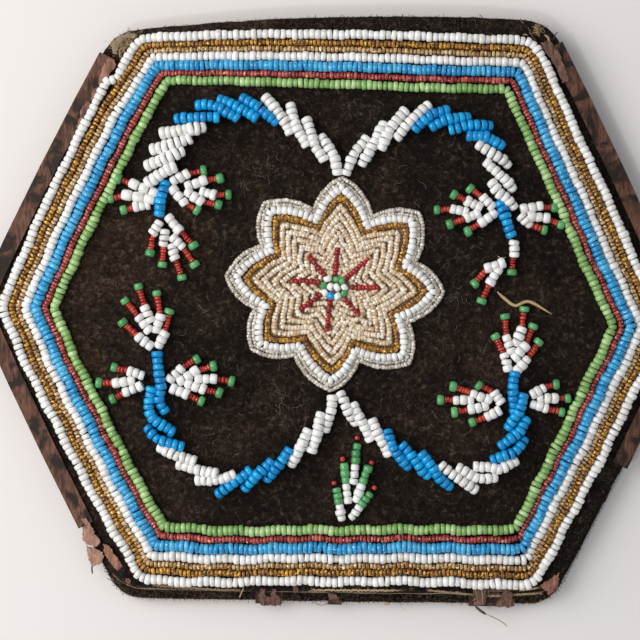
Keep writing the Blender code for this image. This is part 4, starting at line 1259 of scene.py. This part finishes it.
fuzz_rng = np.random.default_rng(402)
rim, rim_along = resampled(hexagon(BACK_CORNERS, BACK_BOWS, CORNER_ROUND), RIM_PITCH, closed=True)
for place, along in zip(rim, rim_along):
    low = place[1] < PATCH_BOTTOM
    outward = np.array((-along[1], along[0]))
    _, lifts, radii, curl, steps = RIM_HAIR
    heading = math.atan2(outward[1], outward[0]) + fuzz_rng.normal(0, RIM_HEADINGS)
    length = (RIM_SHORTEST + fuzz_rng.exponential(RIM_LONGER)) * MM
    plan = fibre(fuzz_rng, place - outward * RIM_INSIDE * MM, heading, length, curl, steps)
    stuff = "tan" if low and fuzz_rng.random() < RIM_TAN_SHARE else "dark"
    threads[stuff].add(raised(plan, -fuzz_rng.uniform(*lifts) * MM), fuzz_rng.uniform(*radii) * MM)
    lengths, _, radii, curl, steps = PILE_HAIR
    for _ in range(PILE_HAIRS_LOW if low else 1):
        start = place - outward * fuzz_rng.uniform(*PILE_BAND) * MM
        heading = fuzz_rng.uniform(0, 2 * math.pi)
        plan = fibre(fuzz_rng, start, heading, fuzz_rng.uniform(*lengths) * MM, curl, steps)
        threads["pile"].add(raised(plan, PILE_LIFT), fuzz_rng.uniform(*radii) * MM)

lengths, lifts, radii, curl, steps = CUT_HAIR
for marks in CUT_EDGES:
    edge, edge_along = resampled(smooth_path(at(marks)), CUT_PITCH)
    waver = wandering(edge, edge_along, CUT_WAVER, 50)
    threads["tan"].add(raised(waver, CUT_LIFT), CUT_RADIUS, CORD_SIDES)
    for place, along in zip(edge, edge_along):
        heading = math.atan2(along[1], along[0]) + fuzz_rng.choice((0, math.pi))
        start = place + fuzz_rng.normal(0, CUT_SCATTER, 2)
        heading += fuzz_rng.normal(0, curl)
        plan = fibre(fuzz_rng, start, heading, fuzz_rng.uniform(*lengths) * MM, curl, steps)
        threads["tan"].add(raised(plan, fuzz_rng.uniform(*lifts) * MM), fuzz_rng.uniform(*radii) * MM)

for stuff, strands in threads.items():
    strands.build(STUFFS[stuff])

# Floor, light and camera
FLOOR_REACH = 2
FLOOR_CORNERS = np.array(((-1, -1, 0), (1, -1, 0), (1, 1, 0), (-1, 1, 0))) * FLOOR_REACH
FLOOR_COLOUR = (0.80, 0.76, 0.74, 1.0)
SKY_COLOUR = (0.93, 0.96, 1.0, 1.0)
SKY_STRENGTH = 0.46
# Lamps: name, place, width, watts, colour
LAMPS = (
    ("window", (-0.50, 0.11, 0.44), 0.70, 4.2, (1.0, 0.98, 0.95)),
    ("sparkle", (-0.30, -0.30, 0.78), 0.07, 0.9, (1.0, 0.99, 0.97)),
)

floor_paint, _, floor_shader = new_material("floor_paint", Roughness=0.9)
floor_shader.inputs["Base Color"].default_value = FLOOR_COLOUR
mesh_object("floor", FLOOR_CORNERS, [(0, 1, 2, 3)], [floor_paint], smooth=False)

world = bpy.data.worlds.new("studio")
world.use_nodes = True
world.node_tree.nodes["Background"].inputs["Color"].default_value = SKY_COLOUR
world.node_tree.nodes["Background"].inputs["Strength"].default_value = SKY_STRENGTH
bpy.context.scene.world = world


def lamp(name, place, size, energy, colour):
    """Round area lamp that looks at the bag."""
    data = bpy.data.lights.new(name, "AREA")
    data.shape = "DISK"
    data.size = size
    data.energy = energy
    data.color = colour
    made = bpy.data.objects.new(name, data)
    made.location = place
    made.rotation_euler = (-made.location).to_track_quat("-Z", "Y").to_euler()
    bpy.context.scene.collection.objects.link(made)


for entry in LAMPS:
    lamp(*entry)

camera_data = bpy.data.cameras.new("camera")
camera_data.sensor_width = SENSOR
camera_data.lens = SENSOR * CAMERA_HEIGHT / (FRAME_WIDTH * PX)
camera = bpy.data.objects.new("camera", camera_data)
middle = at(FRAME_MIDDLE)
camera.location = (middle[0], middle[1], CAMERA_HEIGHT + SEEN_HEIGHT)
bpy.context.scene.collection.objects.link(camera)
bpy.context.scene.camera = camera
bpy.context.scene.view_settings.view_transform = "Standard"
